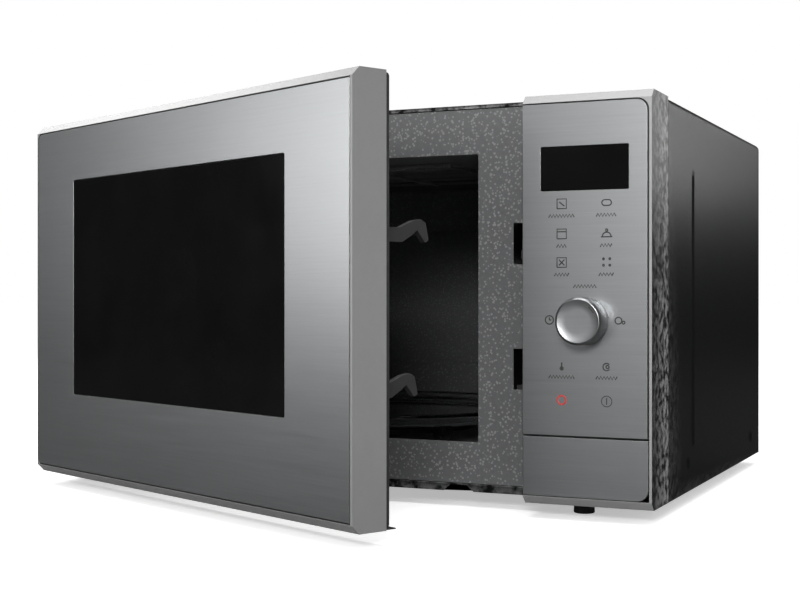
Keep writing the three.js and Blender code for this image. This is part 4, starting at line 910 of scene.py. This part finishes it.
@dataclass
class ControlPanel:
    """The housing, the brushed sheet with its printed marks, the display, dial and button."""

    corner_radius: float = 7.4 * MM
    chamfer: float = 5 * MM
    groove: float = 0.5 * MM
    sheet_edge: float = 0.35 * MM
    seat_depth: float = 2.1 * MM
    mark_size: float = 6.4
    mark_columns: Span = (427.4, 458.0)
    mark_rows: tuple[float, float, float] = (201.0, 181.0, 162.0)
    low_rows: Span = (93.2, 70.6)
    dial_place: Span = (443.5, 123.2)
    mark_depth: float = 0.0  # the sheet's front face

    def build(self) -> None:
        """Builds the panel."""
        self._housing()
        self._sheet()
        self._display()
        self._marks()
        self._dial()
        self._button()

    def _housing(self) -> None:
        """Refines the housing: silver at the front, painted as the case at its side, with painted shade on its
        right chamfer and in the seat round the sheet.
        """
        piece = refine("panel_frame", width=0.7 * MM, segments=3)
        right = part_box("panel_frame")[1].x
        # The side takes the case's paint. The right chamfer takes it too, as painted shade, dark as it turns from
        # the light.
        Bench.paint(piece, charcoal_paint, lambda place, normal: (
            normal.x > 0.5 and place.x > right - self.chamfer) or abs(normal.z) > 0.95)
        # Painted shade: the seat round the sheet is dark moulding, standing in for the shade in the gap between
        # sheet and housing.
        Bench.paint(piece, black_moulding, lambda place, normal: (
            0.1 * MM < place.y - corner.y < self.seat_depth
            and abs(abs(normal.z) - 0.707) > 0.1 and normal.x < 0.5))

    def _sheet(self) -> None:
        """Shapes the brushed sheet, with one round outer corner and the display's opening."""
        low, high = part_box("control_fascia")
        low = low + Vector((0, 0, self.groove / 2))
        high = high - Vector((self.groove * 1.6, 0, self.groove))
        sheet = Bench.block("control_sheet", low, high)
        Bench.round_edges(sheet, lambda place, way: abs(way.y) > 0.9 and place.x > high.x - MM
                          and place.z > high.z - MM, self.corner_radius, 16)
        window_low, window_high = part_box("display_window")
        rim = Vector((0.3 * MM, 2 * MM, 0.3 * MM))
        opening = Bench.block("opening", window_low - rim, window_high + rim)
        Bench.round_edges(opening, lambda _, way: abs(way.y) > 0.9, 0.8 * MM, 5)
        Bench.carve(sheet, opening)
        Bench.soften(sheet, self.sheet_edge, 3)
        stand_for(sheet, "control_fascia")

    def _display(self) -> None:
        """Shapes the display's dark glass with a polished edge."""
        low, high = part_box("display_window")
        glass = Bench.block("display_glass", low, high)
        Bench.round_edges(glass, lambda _, way: abs(way.y) > 0.9, 0.7 * MM, 5)
        Bench.soften(glass, 0.25 * MM, 3)
        stand_for(glass, "display_window")

    def _marks(self) -> None:
        """Prints the marks: plain pictures over rows of ticks, and rings for stop and start."""
        pen, fine = Pen(0.95 * MM), Pen(0.9 * MM)
        left, right = self.mark_columns
        half = self.mark_size / 2
        first, second, third = self.mark_rows
        pictures: Strokes = [pen.frame(left, z, 2 * half, 2 * half) for z in self.mark_rows]
        pictures += [
            [(left - half * 0.5, first + half * 0.4), (left + half * 0.6, first - half * 0.5)],
            [(left - half, second + half * 0.45), (left + half, second + half * 0.45)],
            [(left - half * 0.6, third - half * 0.6), (left + half * 0.6, third + half * 0.6)],
            [(left - half * 0.6, third + half * 0.6), (left + half * 0.6, third - half * 0.6)],
            pen.arc(right - 1.3, first, 1.9, 90, 270) + pen.arc(right + 1.3, first, 1.9, -90, 90)
            + [(right - 1.3, first + 1.9)],
            pen.arc(right, second - half * 0.7, half * 0.9, 0, 180),
            [(right - half * 1.2, second - half * 0.75),
             (right + half * 1.2, second - half * 0.75)],
            pen.arc(right, second + half * 0.6, 0.7),
        ]
        for across in (-2.1, 2.1):
            for up in (-2.1, 2.1):
                pictures.append(pen.arc(right + across, third + up, 0.55))
        dial_x, dial_z = self.dial_place
        clock = (dial_x - 24.6, dial_z + 0.6)
        hands = [(clock[0], clock[1] + 1.7), clock, (clock[0] + 1.4, clock[1])]
        pictures += [pen.arc(*clock, 2.8), hands]
        timer = (dial_x + 22.4, dial_z + 0.4)
        pictures += [pen.arc(*timer, 2.2, 0, 360), pen.arc(timer[0] + 3.4, timer[1] - 1.2, 0.9)]
        low_row, ring_row = self.low_rows
        pictures += [[(left, low_row - 2.4), (left, low_row + 2.4)],
                     pen.arc(left, low_row - 1.6, 1.0)]
        pictures += [pen.arc(right, low_row, 2.4, 40, 320), pen.arc(right + 0.6, low_row, 1.0)]
        words: Strokes = []
        for z, widths in zip(self.mark_rows, ((18.0, 14.0), (7.0, 8.5), (10.0, 10.5))):
            for x, width in zip(self.mark_columns, widths):
                words.append(fine.ticks(x, z - 8.0, width))
        words.append(fine.ticks(dial_x, dial_z + 23.0, 16.0))
        words += [fine.ticks(left, low_row - 7.2, 18.0), fine.ticks(right, low_row - 7.2, 14.5)]
        marks = Bench.join(pen.draw("panel_marks", pictures, self.mark_depth),
                           fine.draw("panel_ticks", words, self.mark_depth))
        fit(marks, "oven_body", print_dark, "brushed_face")
        thin = Pen(0.6 * MM)
        start = thin.draw("start_mark", [thin.arc(right, ring_row, 3.5), [
            (right, ring_row - 2.2), (right, ring_row + 2.2)]], self.mark_depth)
        fit(start, "oven_body", print_dark, "brushed_face")
        thick = Pen(1.3 * MM)
        stop = thick.draw("stop_mark", [thick.arc(left, ring_row, 2.9)], self.mark_depth)
        fit(stop, "oven_body", print_red, "brushed_face")

    def _dial(self) -> None:
        """Turns the dial's knob with a bright bevel round its face, and prints its pointer."""
        low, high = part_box("dial_knob")
        middle = Vector(((low.x + high.x) / 2, high.y, (low.z + high.z) / 2))
        radius, length = (high.x - low.x) / 2, high.y - low.y
        rings = ((radius * 0.8, 0.0), (radius - 0.3 * MM, 0.0), (radius, -0.3 * MM),
                 (radius, -1.4 * MM), (radius - 0.35 * MM, -1.6 * MM),
                 (radius - 0.35 * MM, -2.1 * MM),
                 (radius, -2.3 * MM), (radius, 1.5 * MM - length),
                 (radius - 0.15 * MM, 1.2 * MM - length), (radius - 1.1 * MM, 0.2 * MM - length),
                 (radius - 1.3 * MM, 0.05 * MM - length), (radius - 1.6 * MM, -length),
                 (radius - 1.9 * MM, 0.15 * MM - length), (radius * 0.5, 0.3 * MM - length),
                 (radius * 0.02, 0.32 * MM - length))
        knob = Bench.turned("dial_knob_fine", middle, "Y", rings, 128)
        stand_for(knob, "dial_knob")
        face = (low.y - corner.y) / MM
        x, z = (middle.x - corner.x) / MM, (middle.z - corner.z) / MM
        pen = Pen(1.0 * MM)
        pointer = pen.draw("dial_pointer", [pen.arc(x, z, radius / MM - 3.6, 28, 52)], face + 0.2)
        fit(pointer, "dial", print_dark, "brushed_face")

    def _button(self) -> None:
        """Refines the opening button, whose face continues the sheet."""
        refine("release_button", width=0.35 * MM, segments=3)


@dataclass
class Hinge:
    """The door's upright hinge line, and how far the door stands open."""

    joint: str = "door_hinge"

    def __post_init__(self) -> None:
        """Reads the hinge from the record."""
        joint = next(entry for entry in frame["joints"] if entry["name"] == self.joint)
        self.pivot = Vector(joint["pos_m"])
        self.angle = math.radians(joint["range_deg"][0])

    def closed(self, place: Vector) -> Vector:
        """Returns where a place on the standing door is when the door is closed."""
        return Matrix.Rotation(-self.angle, 3, "Z") @ (place - self.pivot) + self.pivot

    def facing(self, normal: Vector) -> Vector:
        """Returns the direction that a normal on the standing door has on the closed one."""
        return Matrix.Rotation(-self.angle, 3, "Z") @ normal

    def closed_box(self, node: str) -> tuple[Vector, Vector]:
        """Returns a door node's lowest and highest corners with the door closed."""
        places = [self.closed(vertex.co) for vertex in frame["nodes"][node].data.vertices]
        return (Vector([min(place[side] for place in places) for side in range(3)]),
                Vector([max(place[side] for place in places) for side in range(3)]))

    def swing(self, piece: Piece) -> Piece:
        """Turns a piece modelled on the closed door to where the door stands."""
        Bench.turn(piece, self.angle, self.pivot)
        return piece


@dataclass
class Door:
    """The door: its housing, brushed sheet, dark window, inner screen, cover and latch."""

    carried: tuple[str, ...] = ("choke_cover", "latch_key")
    corner_radius: float = 4.5 * MM
    window_radius: float = 1.5 * MM
    groove: float = 0.5 * MM
    sheet_edge: float = 0.35 * MM
    seat_depth: float = 1.5 * MM
    screen_inset: Span = (44 * MM, 44 * MM)
    pitch: float = 4 * MM
    web: float = 0.75 * MM
    key_joint: str = "latch_key_slide"
    hinge: Hinge = field(default_factory=Hinge)

    def build(self) -> None:
        """Builds the door."""
        for node in self.carried:
            refine(node, width=0.35 * MM)
        self._housing()
        self._sheet()
        self._window()
        self._screen()
        self._spring()

    def _housing(self) -> None:
        """Refines the housing, with painted shade: a darker moulding, and a dark seat round the sheet where the
        gap falls in shade.
        """
        # Painted shade: the door's housing takes a darker copy of the silver moulding.
        piece = refine("door_frame", door_moulding, width=0.7 * MM, segments=3)
        hinge = self.hinge
        # Painted shade: the seat round the sheet is dark moulding, standing in for the shade in the gap between
        # sheet and housing.
        Bench.paint(piece, black_moulding, lambda place, normal: (
            0.1 * MM < hinge.closed(place).y - corner.y < self.seat_depth
            and abs(abs(normal.z) - 0.707) > 0.1))

    def _sheet(self) -> None:
        """Shapes the brushed sheet, with two round left corners and the window's opening."""
        low, high = self.hinge.closed_box("door_front_sheet")
        inset = Vector((self.groove, 0, self.groove))
        low, high = low + inset, high - inset
        sheet = Bench.block("door_sheet", low, high)
        Bench.round_edges(sheet, lambda place, way: abs(way.y) > 0.9 and place.x < low.x + MM,
                          self.corner_radius, 12)
        window_low, window_high = self.hinge.closed_box("door_window")
        rim = Vector((0.4 * MM, 3 * MM, 0.4 * MM))
        opening = Bench.block("opening", window_low - rim, window_high + rim)
        Bench.round_edges(opening, lambda _, way: abs(way.y) > 0.9, self.window_radius, 8)
        Bench.carve(sheet, opening)
        Bench.soften(sheet, self.sheet_edge, 3)
        stand_for(self.hinge.swing(sheet), "door_front_sheet", brushed_door)

    def _window(self) -> None:
        """Shapes the dark window with a polished edge."""
        low, high = self.hinge.closed_box("door_window")
        glass = Bench.block("door_glass", low, high)
        Bench.round_edges(glass, lambda _, way: abs(way.y) > 0.9, self.window_radius, 8)
        Bench.soften(glass, 0.3 * MM, 3)
        stand_for(self.hinge.swing(glass), "door_window")

    def _screen(self) -> None:
        """Shapes the steel pan with its perforated middle."""
        low, high = self.hinge.closed_box("door_screen")
        wall = 0.8 * MM
        pan = Bench.block("door_pan", low, high)
        hollow_low = low + Vector((wall, -MM, wall))
        hollow = Bench.block("hollow", hollow_low, high - Vector((wall, wall, wall)))
        Bench.carve(pan, hollow)
        left, bottom = low.x + self.screen_inset[0], low.z + self.screen_inset[1]
        columns = int((high.x - self.screen_inset[0] - left) / self.pitch)
        rows = int((high.z - self.screen_inset[1] - bottom) / self.pitch)
        size = Vector((columns * self.pitch, 0, rows * self.pitch))
        start = Vector((left, high.y, bottom))
        opening = Bench.block("opening", start - Vector((0, 2 * wall, 0)),
                              start + size + Vector((0, wall, 0)))
        Bench.carve(pan, opening)
        Bench.idle()
        middle = start + size / 2 - Vector((0, wall / 2, 0))
        bpy.ops.mesh.primitive_grid_add(x_subdivisions=columns, y_subdivisions=rows, size=1,
                                        location=middle, rotation=(math.pi / 2, 0, 0))
        grid = bpy.context.active_object
        grid.scale = (size.x, size.z, 1)
        grid = Bench.place(grid, "screen_grid")
        with Bench.editing(grid):
            bpy.ops.mesh.select_mode(type="FACE")
            bpy.ops.mesh.inset(thickness=self.web, use_individual=True)
            bpy.ops.mesh.delete(type="FACE")
        Bench.apply(grid, "SOLIDIFY", thickness=wall * 0.9, offset=0.0)
        Bench.soften(pan, 0.4 * MM, 2)
        stand_for(self.hinge.swing(Bench.join(pan, grid)), "door_screen")


    def _spring(self) -> None:
        """Refines the latch key's spring, which shortens as the key rises."""
        spring = refine("latch_spring", width=0.1 * MM, segments=1)
        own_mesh(spring)


def main() -> None:
    """Builds the oven's sub-assemblies in order, then the studio round it."""
    for assembly in (Case(), CookingSpace(), Turntable(), InnerWorks(), ControlPanel(), Door()):
        log.info("building %s", type(assembly).__name__)
        assembly.build()
    Studio().build()


@dataclass(frozen=True)
class SoftBox:
    """A soft rectangular light: where it hangs, its size in metres and its power in watts."""

    name: str
    place: Span
    height: float
    size: Span
    power: float


@dataclass
class Studio:
    """The pale floor, the soft lights and the camera."""

    floor_size: float = 40.0
    floor_tone: float = 0.85
    mirrored_floor_tone: float = 0.02
    floor_glow: float = 0.45  # as the camera sees it, so that it ends in the pale surrounding
    sky_level: float = 1.0  # as the camera sees it
    fill_level: float = 0.75  # as it lights what is matt
    mirrored_level: float = 0.02  # as it shows in what is glossy
    camera_right: float = 0.31235  # from the control panel's left edge
    camera_front: float = 0.9068  # in front of the closed door's face
    camera_height: float = 0.14005  # above the underside of the case
    camera_turn: float = 25.319  # to the left
    lens: float = 63.757
    sensor: float = 36.0
    shift: Span = (0.04286, -0.0056)
    aim_height: float = 0.14  # where the soft boxes point, above the floor
    boxes: tuple[SoftBox, ...] = (
        SoftBox("soft_left", (-2.15, -1.2), 0.5, (1.0, 0.7), 10.0),
        SoftBox("soft_front", (-0.75, -2.3), 0.6, (2.2, 1.5), 7.0),
        SoftBox("soft_right", (0.95, 2.1), 0.66, (0.25, 0.6), 2.2),
        SoftBox("soft_edge", (2.15, 1.3), 0.4, (0.6, 0.8), 7.0),
        SoftBox("soft_top", (0.0, -0.2), 2.4, (1.6, 1.6), 34.0),
        SoftBox("soft_back", (-1.7, 0.8), 1.5, (1.0, 1.0), 16.0),
        SoftBox("soft_inside", (0.5, -1.55), 0.62, (0.4, 0.3), 16.0),
    )

    def build(self) -> None:
        """Sets up the studio."""
        self._floor()
        self._lights()
        self._camera()

    def _floor(self) -> None:
        """Lays a pale floor and sets a pale surrounding."""
        Bench.idle()
        bpy.ops.mesh.primitive_plane_add(size=self.floor_size)
        floor = bpy.context.active_object
        floor.name = "studio_floor"
        paint = bpy.data.materials.new("floor_paint")
        paint.use_nodes = True
        shader = paint.node_tree.nodes["Principled BSDF"]
        graph = Graph(paint.node_tree)
        mirrored = graph.add("LightPath").outputs["Is Glossy Ray"]
        colour = graph.blend(mirrored, tone(self.floor_tone), tone(self.mirrored_floor_tone))
        paint.node_tree.links.new(colour, shader.inputs["Base Color"])
        shader.inputs["Roughness"].default_value = 0.9
        seen = graph.add("LightPath").outputs["Is Camera Ray"]
        glow = graph.math("MULTIPLY", seen, self.floor_glow)
        shader.inputs["Emission Color"].default_value = tone(1.0)
        paint.node_tree.links.new(glow, shader.inputs["Emission Strength"])
        floor.data.materials.append(paint)
        world = bpy.data.worlds.new("studio")
        bpy.context.scene.world = world
        world.use_nodes = True
        graph = Graph(world.node_tree)
        background = world.node_tree.nodes["Background"]
        path = graph.add("LightPath")
        level = graph.ramp(path.outputs["Is Camera Ray"], (0.0, self.fill_level),
                           (1.0, self.sky_level))
        dimmed = graph.math("MULTIPLY", path.outputs["Is Glossy Ray"],
                            self.fill_level - self.mirrored_level)
        level = graph.math("SUBTRACT", level, dimmed)
        world.node_tree.links.new(level, background.inputs["Strength"])
        background.inputs["Color"].default_value = tone(1.0)

    def _lights(self) -> None:
        """Hangs the soft boxes, each of them facing the oven."""
        for box in self.boxes:
            data = bpy.data.lights.new(box.name, "AREA")
            data.shape, data.size, data.size_y, data.energy = "RECTANGLE", *box.size, box.power
            light = bpy.data.objects.new(box.name, data)
            bpy.context.scene.collection.objects.link(light)
            light.location = (*box.place, box.height)
            towards = Vector((0, 0, self.aim_height)) - light.location
            light.rotation_euler = towards.to_track_quat("-Z", "Y").to_euler()

    def _camera(self) -> None:
        """Stands the camera in front of the panel, level and turned to the left."""
        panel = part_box("panel_frame")[0]
        data = bpy.data.cameras.new("camera")
        data.lens, data.sensor_width = self.lens, self.sensor
        data.shift_x, data.shift_y = self.shift
        camera = bpy.data.objects.new("camera", data)
        bpy.context.scene.collection.objects.link(camera)
        camera.location = panel + Vector((self.camera_right, -self.camera_front,
                                          self.camera_height))
        camera.rotation_euler = (math.radians(90), 0.0, math.radians(self.camera_turn))
        bpy.context.scene.camera = camera


if __name__ == "__main__":
    logging.basicConfig(level=logging.INFO)
    bpy.context.scene.view_settings.view_transform = "Standard"
    main()
